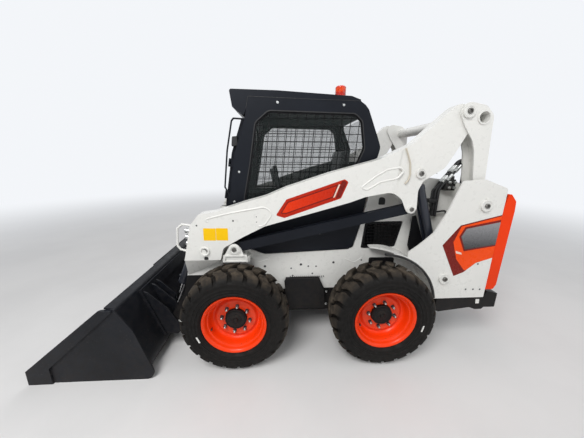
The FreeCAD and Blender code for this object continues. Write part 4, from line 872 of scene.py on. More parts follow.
def add_door_trim():
    trim = Shape()
    for y in (-336, 336):
        low, high = door_point(-88, 32), door_point(372, 32)
        trim.tube([(low[0], y, low[1]), (high[0], y, high[1])], 5, 8)
    build("door_seal", trim, "hose", "cab_door")
    handle = Shape()
    x, z = door_point(60, 34)
    handle.tube([(x - 4, -352, z - 50), (x + 26, -352, z - 46), (x + 28, -352, z + 46),
                 (x - 8, -352, z + 50)], 7, 10)
    handle.turned([(0, 0), (0, 22), (6, 22), (8, 19), (8, 0)], (x - 4, -362, z - 88), ALONG, 24)
    build("door_handle", handle, "black_plastic", "cab_door")
    wiper = Shape()
    a, b = door_point(330, 38), door_point(70, 36)
    wiper.tube([(a[0], 60, a[1]), (b[0], -40, b[1])], 4, 8)
    c, d = door_point(190, 34), door_point(-20, 34)
    wiper.tube([(c[0], 20, c[1]), (d[0], -110, d[1])], 5, 8)
    wiper.box((a[0] - 24, 30, a[1] - 34), (a[0] + 12, 120, a[1] + 26))
    build("door_wiper", wiper, "black_plastic", "cab_door", edge=1.5)


def add_beacon():
    lens = Shape()
    ridges = [(0, 38), (2, 40)]
    for k in range(8):
        z = 4 + k * 6.6
        ridges += [(z, 40), (z + 2.2, 38.4), (z + 4.4, 38.4), (z + 6.6, 40)]
    ridges += [(60, 39.5), (66, 36), (70, 28), (72, 12), (72, 0)]
    lens.turned([(0, 0)] + ridges, (300, 300, 1966), UP, 56)
    build("beacon_cap", lens, "beacon_plastic", "cab", ("beacon",))
    foot = Shape()
    foot.turned([(0, 46), (0, 50), (5, 50), (9, 44)], (300, 300, 1946), UP, 40)
    build("beacon_gasket", foot, "hose", "cab")


def cushion(name, low, high, lean=0.0):
    """Padded block: swollen by cloth pressure from a slightly smaller shape."""
    (x0, y0, z0), (x1, y1, z1) = low, high
    work = bmesh.new()
    bmesh.ops.create_cube(work, size=1.0)
    bmesh.ops.subdivide_edges(work, edges=work.edges, cuts=9, use_grid_fill=True)
    for v in work.verts:
        p = v.co * 2
        round_off = 1 - 0.05 * (abs(p.x) ** 8 * abs(p.y) ** 8 + abs(p.y) ** 8 * abs(p.z) ** 8
                                + abs(p.x) ** 8 * abs(p.z) ** 8)
        p *= round_off
        x = (x0 + x1) / 2 + p.x * (x1 - x0) / 2
        z = (z0 + z1) / 2 + p.z * (z1 - z0) / 2
        v.co = place(x + lean * (z - z0), (y0 + y1) / 2 + p.y * (y1 - y0) / 2, z)
    mesh = bpy.data.meshes.new(name)
    work.to_mesh(mesh)
    work.free()
    pad = bpy.data.objects.new(name, mesh)
    bpy.context.scene.collection.objects.link(pad)
    swell(pad)
    softer = pad.modifiers.new("softer", "SUBSURF")
    softer.levels = softer.render_levels = 1
    pad.data.shade_smooth()
    pad.data.materials.append(FINISHES["seat_vinyl"]())
    return pad


def swell(pad, voxel=0.009, cap=0.010):
    """Runs the cloth simulation and keeps its result, no point moving far."""
    remesh = pad.modifiers.new("even", "REMESH")
    remesh.mode = "VOXEL"
    remesh.voxel_size = voxel
    graph = bpy.context.evaluated_depsgraph_get()
    pad.data = bpy.data.meshes.new_from_object(pad.evaluated_get(graph))
    pad.modifiers.clear()
    before = [v.co.copy() for v in pad.data.vertices]
    cloth = pad.modifiers.new("cloth", "CLOTH")
    cloth.settings.use_pressure = True
    cloth.settings.uniform_pressure_force = 4.0
    cloth.settings.effector_weights.gravity = 0.0
    scene = bpy.context.scene
    for step in range(1, 21):
        scene.frame_set(step)
    graph = bpy.context.evaluated_depsgraph_get()
    done = bpy.data.meshes.new_from_object(pad.evaluated_get(graph))
    pad.modifiers.clear()
    scene.frame_set(1)
    for vertex, start in zip(done.vertices, before):
        move = vertex.co - start
        if move.length > cap:
            vertex.co = start + move.normalized() * cap
    pad.data = done


def add_seat():
    """Cushion and back with piping, over the CAD seat."""
    base = cushion("seat_cushion", (212, -215, 1100), (624, 215, 1172))
    back = cushion("seat_back", (205, -205, 1190), (262, 205, 1590), -0.10)
    for pad in (base, back):
        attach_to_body(pad, "cab")
    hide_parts("seat")
    piping = Shape()
    ring = rounded([(222, -207, 60), (614, -207, 70), (614, 207, 70), (222, 207, 60)], 6)
    piping.tube([(x, y, 1174) for x, y in ring], 3.2, 8, closed=True)
    ring = rounded([(1205, -196, 60), (1578, -196, 80), (1578, 196, 80), (1205, 196, 60)], 6)
    piping.tube([(268 - 0.10 * (z - 1190), y, z) for z, y in ring], 3.2, 8, closed=True)
    for x in (330, 420, 510):
        piping.tube([(x, -190, 1177), (x, 190, 1177)], 2.0, 6)
    build("seat_piping", piping, "hose", "cab")
    shell = Shape()
    shell.slab(rounded([(178, 1100, 10), (226, 1100, 10), (196, 1580, 10), (166, 1590, 10)]), -190,
               190)
    build("seat_shell", shell, "black_plastic", "cab", edge=6)


def add_controls():
    shape = Shape()
    inside = 428
    for k in range(4):
        shape.turned([(0, 0), (0, 30 - 4 * k), (5, 27 - 4 * k), (5, 0)],
                     (744 + 3 * k, inside - 52, 1196 + 7 * k), (0.28, -0.1, 0.95), 20)
    shape.turned([(0, 8), (0, 19), (34, 23), (60, 21), (86, 24), (96, 18), (96, 0)],
                 (791, inside - 70, 1350), (0.24, -0.06, 0.97), 20)
    for dx, dy in ((8, 8), (10, -8), (-6, 0)):
        shape.turned([(0, 0), (0, 5), (5, 4), (5, 0)], (812 + dx, inside - 76 + dy, 1438),
                     (0.3, 0, 0.95), 12)
    build("lever_grips", shape.mirror(), "black_plastic", "cab", edge=1)
    panel = Shape()
    for x in (380, 430, 480, 530):
        panel.turned([(0, 0), (0, 12), (7, 10), (7, 0)], (x, 380, 1186), UP, 16)
    panel.box((560, 350, 1196), (650, 410, 1203))
    build("console_knobs", panel.mirror(), "dark_zinc", "cab", edge=1)
    display = Shape()
    display.prism([(930, 250, 1640), (935, 250, 1740), (935, 330, 1740), (930, 330, 1640)],
                  [(948, 246, 1638), (953, 246, 1744), (953, 334, 1744), (948, 334, 1638)])
    build("display_panel", display, "black_plastic", "cab", edge=2)


# Frame


GRILLE = ((70, 1023), (92, 823), (-168, 834), (-212, 1028))


def add_side_grilles():
    """Pressed mesh in a rim, over the air inlet behind each arm."""
    shape = Shape()
    edge = rounded([(x, z, 14) for x, z in GRILLE])
    x = -230
    while x < 120:
        for (ax, az), (bx, bz) in inside_spans((x, 800), (x + 22, 1040), edge):
            shape.tube([(ax, 434, az), (bx, 434, bz)], 2.4, 6)
        x += 27
    z = 836
    while z < 1034:
        for (ax, az), (bx, bz) in inside_spans((-240, z), (140, z), edge):
            shape.tube([(ax, 437, az), (bx, 437, bz)], 2.4, 6)
        z += 27
    build("inlet_mesh", shape.mirror(), "black_paint", "frame", ("side_grilles",))
    rim = Shape()
    rim.band(inset(edge, -9), inset(edge, 5), 439.8, 443)
    build("inlet_rims", rim.mirror(), "black_paint", "frame", edge=1)


def add_frame_trim():
    bolts, darks = Shape(), Shape()
    for x, z in ((444, 946), (361, 970), (882, 667), (588, 678), (320, 692)):
        darks.bolt((x, 440, z), ACROSS, 13, 5)
    for x, z in ((668, 645), (527, 661), (463, 659), (492, 595), (655, 579), (87, 708)):
        darks.turned([(0.2, 0), (0.2, 7), (0.9, 6), (0.9, 0)], (x, 440, z), ACROSS, 16)
    for x, z in ((-691, 533), (-751, 531), (-806, 530), (-746, 747)):
        darks.turned([(0.4, 0), (0.4, 7), (1.0, 7), (1.0, 0)], (x, 632, z), ACROSS, 16)
    for x, z in ((366, 427), (366, 309), (500, 300), (640, 300)):
        bolts.bolt((x, 444, z), ACROSS, 15, 6)
    relief = Shape()
    for corners in ([(1003, 773, 0), (905, 772, 60), (826, 735, 40), (934, 704, 0)],
                    [(225, 722, 0), (149, 686, 40), (84, 728, 40), (80, 757, 0)]):
        line = rounded(corners, 8)
        relief.tube([(x, 438, z) for x, z in line], 4.5, 10)
    build("wall_relief", relief.mirror(), "white_paint", "frame")
    build("side_bolts", darks.mirror(), "dark_zinc", "frame")
    build("step_bolts", bolts.mirror(), "zinc", "frame")
    # Thin black slot on the side wall: painted shade inside an opening.
    slot = Shape().slab(rounded([(-10, 1172, 10), (-10, 1236, 26), (-62, 1226, 26),
                                 (-62, 1172, 10)]), 440.2, 441)
    build("side_slot_shades", slot.mirror(), "hose", "frame")
    bracket = Shape()
    bracket.slab(rounded([(-184, 672, 10), (-184, 728, 16), (26, 732, 16), (26, 676, 10)]), 440.2,
                 448)
    bracket.bolt((-150, 448, 706), ACROSS, 15, 6).bolt((-8, 448, 709), ACROSS, 15, 6)
    build("arch_brackets", bracket.mirror(), "black_paint", "frame", edge=1.5)
    teeth = Shape()
    for k in range(17):
        x = 398 + 17 * k
        teeth.prism([(x, 462, 574), (x + 8, 462, 574), (x + 8, 446, 574), (x, 446, 574)],
                    [(x + 2, 460, 579), (x + 6, 460, 579), (x + 6, 448, 579), (x + 2, 448, 579)])
    build("step_teeth", teeth.mirror(), "black_paint", "frame")
    plates = Shape()
    plates.slab([(-838, 396), (-808, 396), (-804, 434), (-834, 434)], 620, 621.0)
    build("bumper_plates", plates.mirror(), "white_paint", "frame")
    loops = Shape()
    for y in (-330, 330):
        loops.tube([(-979, y - 34, 408), (-988, y - 30, 386), (-990, y, 376),
                    (-988, y + 30, 386), (-979, y + 34, 408)], 9, 10)
    build("tie_loops", loops, "black_paint", "frame")


def arc(radius, low, high, steps=24):
    return [(radius * math.cos(math.radians(low + (high - low) * k / steps)),
             AXLE_HEIGHT + radius * math.sin(math.radians(low + (high - low) * k / steps)))
            for k in range(steps + 1)]


def add_fender_lips():
    """Rubber strip along each rear wheel arch, with its fixings."""
    shape = Shape()
    inner, outer = arc(FENDER - 6, 92, 170), arc(FENDER + 8, 92, 170)
    shape.slab(inner + outer[::-1], 620.5, 640)
    build("arch_lips", shape.mirror(), "black_plastic", "frame", edge=2)
    white = Shape()
    white.slab(arc(FENDER + 10, 100, 170) + arc(FENDER + 17, 100, 170)[::-1], 632.2, 635)
    build("arch_beads", white.mirror(), "white_paint", "frame", edge=1)
    # Dark plate standing on the fender beside each lift barrel.
    fender_plate = Shape()
    fender_plate.slab(rounded([(-300, 1096, 14), (-272, 1090, 10), (-262, 850, 20), (-285, 800, 10),
                         (-402, 780, 10), (-388, 872, 40)]), 478, 483)
    build("fender_dark_plates", fender_plate.mirror(), "black_paint", "frame", edge=1)


def add_hood_trim():
    low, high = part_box("engine_hood")
    x0, x1 = low.x * 1000 - REAR_AXLE, high.x * 1000 - REAR_AXLE
    top = high.z * 1000
    shape = Shape()
    for k in range(7):
        x = x0 + (x1 - x0) * (0.30 + 0.075 * k)
        shape.prism([(x, -260, top - 3), (x + 22, -260, top - 3), (x + 22, 260, top - 3),
                     (x, 260, top - 3)],
                    [(x + 3, -256, top - 0.2), (x + 10, -256, top - 0.2),
                     (x + 10, 256, top - 0.2), (x + 3, 256, top - 0.2)])
    build("hood_louvres", shape, "black_paint", "frame", edge=1)


def add_tail_trim():
    lamps, bezels, latch = Shape(), Shape(), Shape()
    low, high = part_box("tail_lamps")
    rear = low.x * 1000 - REAR_AXLE
    for side in (1, -1):
        y = side * 503
        bezels.band([(p, q) for p, q in rounded([(y - 60, 1034, 12), (y + 60, 1034, 12),
                                                 (y + 60, 1126, 12), (y - 60, 1126, 12)])],
                    [(p, q) for p, q in rounded([(y - 52, 1042, 8), (y + 52, 1042, 8),
                                                 (y + 52, 1118, 8), (y - 52, 1118, 8)])], 0, 1)
    bezels.points = [(rear + (3 if d < 0.5 else -1) + 10 * (z - 1040) / 630, p, z)
                     for p, d, z in bezels.points]
    build("lamp_bezels", bezels, "black_plastic", "tailgate", edge=1)
    for side in (1, -1):
        for k in range(5):
            y = side * 503 - 44 + 22 * k
            lamps.tube([(rear - 0.5, y, 1046), (rear + 0.5, y, 1114)], 1.6, 6)
    build("lamp_flutes", lamps, "lamp_plastic", "tailgate")
    latch.tube([(rear + 10, 470, 800), (rear - 10, 470, 812), (rear - 10, 470, 928),
                (rear + 10, 470, 940)], 8, 10)
    latch.turned([(0, 0), (0, 24), (5, 24), (8, 20), (8, 0)], (rear + 17, 470, 770), (-1, 0, 0), 24)
    build("gate_latch", latch, "black_plastic", "tailgate")


def add_pin_bolts():
    """Hex bolts in the middle of each pivot's boss, and the keeper tabs above them."""
    frame_bolts, arm_bolts, link_bolts = Shape(), Shape(), Shape()
    frame_rings, arm_rings = Shape(), Shape()
    for x, z, y in ((-710, 1199, 645), (-496, 632, 645)):
        frame_bolts.pin_head((x, y, z), ACROSS)
        frame_rings.turned([(0, 34), (0, 41), (2.5, 40), (2.5, 35)], (x, y - 0.2, z), ACROSS, 40,
                           closed=True)
        frame_rings.box((x - 8, 632, z + 38), (x + 8, 640, z + 52))
    arm_bolts.pin_head((-224, 601, 1422), ACROSS, 17)
    arm_bolts.pin_head((-191, 596, 1167), ACROSS, 16, 8)
    arm_rings.turned([(0, 27), (0, 33.5), (2.5, 32.5), (2.5, 28)], (-224, 600.8, 1422), ACROSS, 40,
                     closed=True)
    arm_rings.box((-232, 588, 1453), (-216, 597, 1465))
    link_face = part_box("rear_links")[1].y * 1000
    link_bolts.pin_head((-483, link_face, 1823), ACROSS, 18, 9)
    ring = Shape().turned([(0, 28), (0, 38), (3, 37), (3, 29)], (-483, link_face - 0.5, 1823), ACROSS,
                          40, closed=True)
    build("frame_pin_bolts", frame_bolts.mirror(), "pin_steel", "frame")
    build("frame_pin_rings", frame_rings.mirror(), "white_paint", "frame", edge=1)
    build("arm_pin_bolts", arm_bolts.mirror(), "pin_steel", "lift_arms")
    build("arm_pin_rings", arm_rings.mirror(), "white_paint", "lift_arms", edge=1)
    build("link_pin_bolts", link_bolts.mirror(), "pin_steel", "rear_links")
    build("link_pin_rings", ring.mirror(), "white_paint", "rear_links")
    front = Shape()
    front.pin_head((1088, 604, 880), ACROSS, 17, 8)
    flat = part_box("front_brackets")[1].y * 1000
    cover = Shape()
    cover.band([(1168, 836), (1000, 836), (990, 781), (1178, 781)],
               [(1150, 824), (1017, 824), (1008, 791), (1158, 791)], flat - 2, flat + 9)
    cover.slab([(1150, 824), (1017, 824), (1008, 791), (1158, 791)], flat - 2, flat + 0.8)
    build("bracket_covers", cover.mirror(), "white_paint", "frame", edge=2)
    rings = Shape().turned([(0, 24), (0, 33), (5, 33), (6.5, 31), (6.5, 25)], (1088, 603, 880),
                           ACROSS, 40, closed=True)
    build("front_pin_rings", rings.mirror(), "white_paint", "frame")
    build("front_pin_bolts", front.mirror(), "pin_steel", "frame")


# Lift arms


def add_arm_marks():
    """Coloured strips, blank plates, pressed outlines and the ring of the cross tube."""
    face = 600
    strips = {
        "arm_strip": ("stripe_rim", 0.2, 0.9, ((785, 1131, 10), (712, 1243, 20), (312, 1382, 10),
                                                  (283, 1364, 14), (330, 1250, 18), (725, 1112, 10))),
        "arm_strip_line": ("stripe_maroon", 0.9, 1.2, ((752, 1145, 4), (702, 1228, 14),
                                                       (350, 1349, 4), (384, 1256, 4),
                                                       (716, 1141, 8))),
        "arm_strip_field": ("stripe_red", 1.2, 1.5, ((743, 1149, 4), (698, 1221, 12),
                                                        (362, 1337, 4), (392, 1262, 4),
                                                        (713, 1149, 8))),
        "arm_strip_end": ("stripe_maroon", 0.9, 1.3, ((330, 1369, 4), (312, 1373, 8), (294, 1359, 8),
                                                      (334, 1258, 8), (368, 1246, 4))),
        "arm_strip_slash": ("pale_stripe_and_highlight", 1.3, 1.6, ((352, 1345, 2), (340, 1349, 2),
                                                      (374, 1258, 2), (386, 1254, 2))),
    }
    for name, (finish, inner, outer, corners) in strips.items():
        shape = Shape().slab(rounded(corners, 4), face + inner, face + outer)
        build(name, shape.mirror(), finish, "lift_arms")
    plates = Shape()
    for x0, x1 in ((1212, 1297), (1126, 1209.5)):
        plates.slab(rounded([(x0, 950, 5), (x1, 952, 5), (x1 - 2, 1042, 5), (x0 - 2, 1040, 5)]),
                    face + 0.1, face + 1.0)
    build("blank_plates", plates.mirror(), "yellow", "lift_arms")
    press = Shape()
    loop = rounded([(1330, 1094, 30), (1098, 1150, 60), (863, 1191, 60), (805, 1148, 40),
                    (872, 1050, 60)], 8)
    press.tube([(x, face - 4.0, z) for x, z in loop[2:]], 8, 12)
    pocket = rounded([(196, 1322, 14), (100, 1398, 60), (20, 1446, 60), (-74, 1462, 34),
                      (-100, 1436, 34), (-58, 1386, 50), (60, 1362, 50), (150, 1308, 30)], 8)
    press.tube([(x, face - 4.0, z) for x, z in pocket], 8, 12, closed=True)
    build("pressed_lines", press.mirror(), "white_paint", "lift_arms")
    seam = Shape()
    seam.tube([(x, face - 4.0, z) for x, z in ((-97, 1588), (-118, 1540), (-138, 1490),
                                               (-148, 1415), (-139, 1376), (-119, 1350))], 5.5, 10)
    build("arm_seams", seam.mirror(), "sealant", "lift_arms")
    # Thin black discs and a slot on the arm's face: painted shade inside holes.
    slots = Shape()
    slots.slab(rounded([(1308, 803, 8), (1274, 803, 8), (1277, 826, 10), (1303, 828, 10)]),
               face + 0.2, face + 0.8)
    for z in (1122, 1084):
        slots.turned([(0.2, 0), (0.2, 3.5), (0.8, 3.5), (0.8, 0)], (921, face, z), ACROSS, 12)
    slots.turned([(0.2, 0), (0.2, 6), (0.8, 6), (0.8, 0)], (1338, face, 1062), ACROSS, 16)
    slots.turned([(0.2, 0), (0.2, 6), (0.8, 6), (0.8, 0)], (1084, face, 1094), ACROSS, 16)
    build("arm_hole_shades", slots.mirror(), "hose", "lift_arms")
    ring = Shape()
    ring.turned([(0, 0), (0, 35), (11, 35), (14, 32), (14, 25), (10, 21), (1.5, 20), (1.5, 0)],
                (1296, face, 871), ACROSS, 48)
    build("tube_rings", ring.mirror(), "white_paint", "lift_arms")
    # Grey disc inside the ring: painted shade of the tube's bore.
    bore = Shape().turned([(1.6, 0), (1.6, 19.8), (2.2, 19.5), (2.2, 0)], (1296, face, 871), ACROSS, 32)
    build("tube_bore_shades", bore.mirror(), "bore_shade_grey", "lift_arms")


def add_leg_trim():
    """Dark guard round each arm's lower leg, and the slope between the knee and the leg."""
    guard = Shape().slab(rounded([(1469.5, 650, 0), (1495.7, 521.3, 120), (1607.2, 331.6, 60),
                                  (1634, 269.4, 0), (1486.7, 247.9, 0), (1389.2, 378, 120),
                                  (1266.9, 558.3, 120), (1225.4, 648.5, 0)], 8), 437, 538)
    build("leg_guards", guard.mirror(), "black_paint", "lift_arms", edge=1)
    slope = Shape()
    slope.add([(1196, 599.5, 801), (1447, 599.5, 801), (1196, 536, 801), (1447, 536, 801),
               (1216, 536, 758), (1457, 536, 652)],
              [(0, 2, 3, 1), (0, 1, 5, 4), (2, 4, 5, 3), (0, 4, 2), (1, 3, 5)])
    build("knee_slopes", slope.mirror(), "white_paint", "lift_arms", edge=3)


def add_tower_marks():
    face = 632
    layers = (
        ("tower_strip", "stripe_maroon", 0.2, 0.8, ((-441, 902, 4), (-553, 1054, 10),
                                                    (-849, 1130, 2), (-849, 797, 2),
                                                    (-726, 756, 20), (-643, 681, 20),
                                                    (-570, 650, 4))),
        ("tower_strip_band", "stripe_orange", 0.8, 1.2, ((-520, 925, 4), (-560, 1046, 8),
                                                         (-849, 1121, 2), (-849, 797, 2),
                                                         (-726, 758, 20), (-650, 690, 20),
                                                         (-566, 790, 10))),
        ("tower_strip_rim", "stripe_maroon", 1.2, 1.5, ((-556, 968, 8), (-590, 1041, 10),
                                                        (-849, 1094, 2), (-849, 892, 2),
                                                        (-612, 852, 10))),
        ("tower_strip_panel", "stripe_grey", 1.5, 1.9, ((-572, 968, 8), (-602, 1028, 10),
                                                        (-849, 1076, 2), (-849, 902, 2),
                                                        (-618, 866, 10))),
        # Pale patch on the decal: a painted highlight.
        ("tower_strip_glint", "pale_stripe_and_highlight", 1.5, 1.8, ((-548, 858, 3), (-556, 836, 6),
                                                        (-604, 826, 3), (-596, 842, 3))),
    )
    for name, finish, inner, outer, corners in layers:
        shape = Shape().slab(rounded(corners, 4), face + inner, face + outer)
        build(name, shape.mirror(), finish, "frame")


def bent(corners, radius, steps=6):
    """Path through corners, each turned with the same radius."""
    path = [Vector(corners[0])]
    for before, here, after in zip(corners, corners[1:], corners[2:]):
        here, back, on = Vector(here), Vector(before) - Vector(here), Vector(after) - Vector(here)
        half = back.angle(on) / 2
        reach = min(radius / math.tan(half), back.length * 0.49, on.length * 0.49)
        start, end = here + back.normalized() * reach, here + on.normalized() * reach
        for k in range(steps + 1):
            t = k / steps
            path.append(start * (1 - t) ** 2 + here * 2 * t * (1 - t) + end * t * t)
    return path + [Vector(corners[-1])]


def add_pipes():
    """Bent steel pipes of the lift circuit beside the uprights, with their nuts and clamp."""
    pipes, nuts, clamp = Shape(), Shape(), Shape()
    for k in range(4):
        y, shift = 455 + 12 * k, 14 * (k % 2)
        low, high = Vector((-452 - shift, y, 1330)), Vector((-578 - shift, y, 1500 - shift))
        corners = [(-428 - shift, y, 1090), (-430 - shift, y, 1290), low, high,
                   (-628, y - 14, 1520 - shift), (-664, y - 40, 1440), (-672, y - 44, 1180)]
        pipes.tube(bent(corners, 40), 8.5, 12)
        way = (high - low).normalized()
        for share in (0.12 + 0.10 * (k % 2), 0.56 + 0.08 * (k % 2)):
            spot = low + (high - low) * share
            nuts.turned([(0, 0), (0, 14.5), (22, 14.5), (24, 12), (24, 0)], spot, way, 6)
            nuts.turned([(24, 0), (24, 11.5), (58, 11.5), (58, 0)], spot, way, 20)
    clamp.box((-440, 448, 1196), (-380, 500, 1224))
    valve = Shape()
    valve.box((-560, 452, 1290), (-486, 500, 1372))
    valve.box((-548, 458, 1372), (-500, 494, 1396))
    for x, z in ((-542, 1352), (-504, 1352), (-542, 1312), (-504, 1312)):
        valve.turned([(0, 0), (0, 15), (5, 15), (7, 12), (7, 0)], (x, 500, z), ACROSS, 6)
        nuts.turned([(7, 0), (7, 10), (22, 10), (24, 8), (24, 0)], (x, 500, z), ACROSS, 20)
    for x in (-536, -512):
        nuts.turned([(0, 0), (0, 11), (16, 11), (18, 9), (18, 0)], (x, 476, 1396), UP, 6)
    pipes.tube(bent([(-486, 476, 1335), (-450, 480, 1335), (-396, 486, 1290), (-398, 486, 1170),
                     (-452, 480, 1120), (-540, 470, 1130), (-560, 462, 1060)], 30), 7, 10)
    build("valve_blocks", valve.mirror(), "iron", "frame", edge=2)
    build("lift_pipes", pipes.mirror(), "hose", "frame")
    build("pipe_nuts", nuts.mirror(), "zinc", "frame", edge=0.6)
    build("pipe_clamps", clamp.mirror(), "black_plastic", "frame", edge=3)


# Cylinders


def add_cylinder_trim():
    """Glands, hose ports and clamps on the barrels, wipers at their mouths."""
    lift, tilt = Shape(), Shape()
    foot, head = Vector((-496, 546, 632)), Vector((-224, 546, 1422))
    along = (head - foot).normalized()
    mouth = foot + along * 745
    lift.turned([(-34, 30.4), (-34, 33), (-4, 33), (0, 29), (0, 20)], mouth, along, 40)
    for share in (0.16, 0.88):
        spot = foot + along * (745 * share)
        lift.turned([(0, 0), (0, 9), (16, 9), (16, 0)], spot + Vector((0, -26, 0)), (0, -1, 0), 16)
    across = Vector((along.z, 0, -along.x))
    near, far = foot + along * 90, foot + along * 690
    # Dark plate inboard of each lift barrel, wider towards its foot.
    guard = [near - across * 12, near + across * -52, far + across * -34, far + across * 28,
             near + across * 46]
    plate = Shape().slab([(p.x, p.z) for p in guard], 507, 511)
    build("barrel_dark_plates", plate.mirror(), "cylinder_paint", "lift_barrels", edge=1)
    build("lift_glands", lift.mirror(), "cylinder_paint", "lift_barrels", edge=0.8)
    top, eye = Vector((1380, 392, 980)), Vector((1654, 392, 313))
    along = (eye - top).normalized()
    mouth = top + along * 500
    tilt.turned([(-30, 34.3), (-30, 37), (-4, 37), (0, 33), (0, 21)], mouth, along, 40)
    for share in (0.25, 0.9):
        spot = top + along * (500 * share)
        tilt.turned([(0, 0), (0, 9), (13, 9), (13, 0)], spot + Vector((27, 0, 12)), (0.92, 0, 0.38),
                    16)
    build("tilt_glands", tilt.mirror(), "cylinder_paint", "tilt_barrels", edge=0.8)


# Attachment frame and bucket


def add_coupler_trim():
    """Quick couplers behind the guard on the left arm."""
    low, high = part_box("coupler_guard")
    x0, x1 = low.x * 1000 - REAR_AXLE, high.x * 1000 - REAR_AXLE
    y = (low.y + high.y) * 500
    z0, z1 = low.z * 1000, high.z * 1000
    shape, block = Shape(), Shape()
    for k, share in enumerate((0.28, 0.5, 0.72)):
        z = z0 + (z1 - z0) * share
        start = x0 + 6
        shape.turned([(0, 0), (0, 15), (14, 15), (14, 19), (34, 19), (36, 16), (44, 16), (46, 13),
                      (46, 0)], (start, y, z), (0.97, 0, 0.22), 24)
        shape.turned([(34, 19.2), (35, 20.5), (40, 20.5), (41, 19.2)], (start, y, z),
                     (0.97, 0, 0.22), 24)
    build("quick_couplers", shape, "zinc", "lift_arms", edge=0.6)
    return x0, x1


def add_bucket_trim():
    bolts = Shape()
    for y in (-700, -420, -140, 140, 420, 700):
        bolts.turned([(0, 0), (0, 13), (1.5, 12), (1.5, 0)], (2400, y, 20), UP, 20)
    build("edge_bolts", bolts, "bare_steel", "bucket")


# Stage

BACKDROP = (0.90, 0.92, 0.95, 1)


def only_seen(tree):
    """1 for rays from the camera, a mirror or a pane, 0 for light."""
    path = put(tree, "ShaderNodeLightPath")
    seen = put(tree, "ShaderNodeMath", {"operation": "ADD", "use_clamp": True},
               {0: path.outputs["Is Camera Ray"], 1: path.outputs["Is Glossy Ray"]})
    return put(tree, "ShaderNodeMath", {"operation": "ADD", "use_clamp": True},
               {0: seen.outputs[0], 1: path.outputs["Is Transmission Ray"]}).outputs[0]


def add_stage():
    stage = bpy.context.scene.loader_stage
    scene = bpy.context.scene
    yaw, pitch, roll = 0.052, 0.253, -0.005
    forward = Vector((-math.sin(yaw) * math.cos(pitch), -math.cos(yaw) * math.cos(pitch),
                      -math.sin(pitch)))
    right = Vector((-math.cos(yaw), math.sin(yaw), 0))
    down = forward.cross(right)
    turned_right = right * math.cos(roll) + down * math.sin(roll)
    turned_down = down * math.cos(roll) - right * math.sin(roll)
    lens = bpy.data.cameras.new("photo_view")
    lens.sensor_width = 36
    lens.lens = 234.8 / 584 * 36
    lens.clip_start, lens.clip_end = 0.05, 200
    camera = bpy.data.objects.new("photo_view", lens)
    columns = (turned_right, -turned_down, -forward)
    turn = Matrix([[c[i] for c in columns] for i in range(3)])
    camera.matrix_world = Matrix.Translation(place(755, 2204, 1519.4)) @ turn.to_4x4()
    scene.collection.objects.link(camera)
    scene.camera = camera
    scene.view_settings.view_transform = "Standard"
    floor = bpy.data.meshes.new("floor")
    floor.from_pydata([(-60, -60, 0), (60, -60, 0), (60, 60, 0), (-60, 60, 0)], [], [(0, 1, 2, 3)])
    ground = bpy.data.objects.new("floor", floor)
    ground.location.z = -0.0005
    scene.collection.objects.link(ground)
    material, tree, surface = blank("floor")
    where = put(tree, "ShaderNodeTexCoord").outputs["Object"]
    patch = speckle(tree, where, 0.8, 5.0)
    tone = mixed(tree, patch, shade(stage.floor, 0.97), shade(stage.floor, 1.03))
    tree.links.new(tone, surface.inputs["Base Color"])
    tree.links.new(grade(tree, patch, 0, 1, 0.75, 0.9), surface.inputs["Roughness"])
    reach = put(tree, "ShaderNodeVectorMath", {"operation": "LENGTH"}, {0: where}).outputs[1]
    far = put(tree, "ShaderNodeMapRange", {"interpolation_type": "SMOOTHSTEP"},
              {"Value": reach, 1: 2.5, 2: 11.0}).outputs[0]
    haze = put(tree, "ShaderNodeEmission", None, {0: BACKDROP})
    blend = put(tree, "ShaderNodeMixShader", None,
                {0: times(tree, far, only_seen(tree)), 1: surface.outputs[0], 2: haze.outputs[0]})
    out = next(n for n in tree.nodes if n.type == "OUTPUT_MATERIAL")
    tree.links.new(blend.outputs[0], out.inputs[0])
    floor.materials.append(material)
    world = bpy.data.worlds.new("studio")
    scene.world = world
    world.use_nodes = True
    tree = world.node_tree
    tree.nodes.clear()
    strength = put(tree, "ShaderNodeMapRange", None, {"Value": only_seen(tree), 3: stage.sky,
                                                      4: 1.0})
    sky = put(tree, "ShaderNodeBackground", None, {0: BACKDROP, 1: strength.outputs[0]})
    out = put(tree, "ShaderNodeOutputWorld")
    tree.links.new(sky.outputs[0], out.inputs[0])
    lamps = (("key", stage.key, 2.2, (1.5, 3.6, 4.6)), ("fill", stage.fill, 4.0, (-3.8, 2.6, 3.2)),
             ("back", stage.fill, 4.0, (0.4, -4.2, 4.0)))
    for name, power, size, spot in lamps:
        light = bpy.data.lights.new(name + "_lamp", "AREA")
        light.energy, light.size = power, size
        lamp = bpy.data.objects.new(name + "_lamp", light)
        lamp.location = spot
        lamp.rotation_euler = (Vector((0, 0, 0.8)) - Vector(spot)).to_track_quat("-Z", "Y").to_euler()
        scene.collection.objects.link(lamp)


# Operators and panel


def step(key, label, note, *makers):
    """An operator that makes one piece or a group of like pieces."""
    def execute(self, context):
        for maker in makers:
            maker()
        return {"FINISHED"}
    return type("LOADER_OT_" + key, (bpy.types.Operator,),
                {"bl_idname": "loader." + key, "bl_label": label, "__doc__": note,
                 "execute": execute})


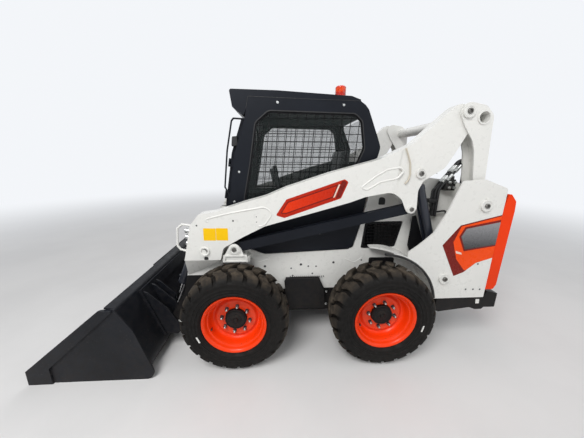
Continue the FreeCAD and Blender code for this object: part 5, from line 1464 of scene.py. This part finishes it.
STEPS = (
    step("stage", "Stage", "Camera, floor and lamps", add_stage),
    step("pipes", "Pipes", "Lift circuit's pipes beside the uprights", add_pipes),
    step("finishes", "Finishes", "Paint and material of the CAD's own pieces", finish_nodes),
    step("tyres", "Tyres", "Lugged tyres on all four wheels", add_tyres),
    step("rims", "Rims", "Dished rims with their nuts and valves", add_rims),
    step("tyre_ticks", "Tyre ticks", "Painted mark on each tyre", add_tyre_ticks),
    step("hubs", "Hubs", "Caps over the shafts' ends", add_hubs),
    step("screens", "Screens", "Wire screens in the cab's side windows", add_screens),
    step("cab_trim", "Cab trim", "Bolts, seals, lamps and ribs of the cab", add_cab_trim),
    step("door_trim", "Door trim", "Seal, handle and wiper of the door", add_door_trim),
    step("beacon", "Beacon", "Ribbed lens on its gasket", add_beacon),
    step("seat", "Seat", "Cushion, back, piping and shell", add_seat),
    step("controls", "Controls", "Grips, knobs and display", add_controls),
    step("grilles", "Inlet grilles", "Mesh over the side air inlets", add_side_grilles),
    step("frame_trim", "Frame trim", "Bolts, step teeth, plates and loops", add_frame_trim),
    step("fenders", "Fender lips", "Strips along the rear wheel arches", add_fender_lips),
    step("hood_trim", "Hood trim", "Louvres of the hood", add_hood_trim),
    step("tail_trim", "Tail trim", "Lamp bezels and latch of the tailgate", add_tail_trim),
    step("pin_bolts", "Pin bolts", "Bolts and rings of the main pivots", add_pin_bolts),
    step("arm_marks", "Arm marks", "Strips, plates and pressed lines on the arms", add_arm_marks),
    step("leg_trim", "Leg trim", "Guards and slopes of the arms' lower legs", add_leg_trim),
    step("tower_marks", "Upright marks", "Strips on the rear uprights", add_tower_marks),
    step("cylinder_trim", "Cylinder trim", "Glands and ports of the cylinders", add_cylinder_trim),
    step("coupler_trim", "Couplers", "Quick couplers behind the guard", add_coupler_trim),
    step("bucket_trim", "Bucket trim", "Bolts of the cutting edge", add_bucket_trim),
)


class LOADER_PT_finish(bpy.types.Panel):
    bl_idname = "LOADER_PT_finish"
    bl_label = "Compact Loader"
    bl_space_type = "VIEW_3D"
    bl_region_type = "UI"
    bl_category = "Loader"

    def draw(self, context):
        scene = context.scene
        for group in (scene.loader_colours, scene.loader_tyre, scene.loader_screen,
                      scene.loader_stage):
            box = self.layout.box()
            for name in group.bl_rna.properties.keys():
                if name not in ("rna_type", "name"):
                    box.prop(group, name)
        column = self.layout.column(align=True)
        for operator in STEPS:
            column.operator(operator.bl_idname)


GROUPS = {"loader_colours": LoaderColours, "loader_tyre": LoaderTyre,
          "loader_screen": LoaderScreen, "loader_stage": LoaderStage}


def register():
    for name, group in GROUPS.items():
        bpy.utils.register_class(group)
        setattr(bpy.types.Scene, name, PointerProperty(type=group))
    for item in (*STEPS, LOADER_PT_finish):
        bpy.utils.register_class(item)


def unregister():
    for item in (LOADER_PT_finish, *reversed(STEPS)):
        bpy.utils.unregister_class(item)
    for name, group in reversed(GROUPS.items()):
        delattr(bpy.types.Scene, name)
        bpy.utils.unregister_class(group)


def main():
    register()
    for operator in STEPS:
        getattr(bpy.ops.loader, operator.bl_idname.split(".")[1])()


if __name__ == "__main__":
    main()
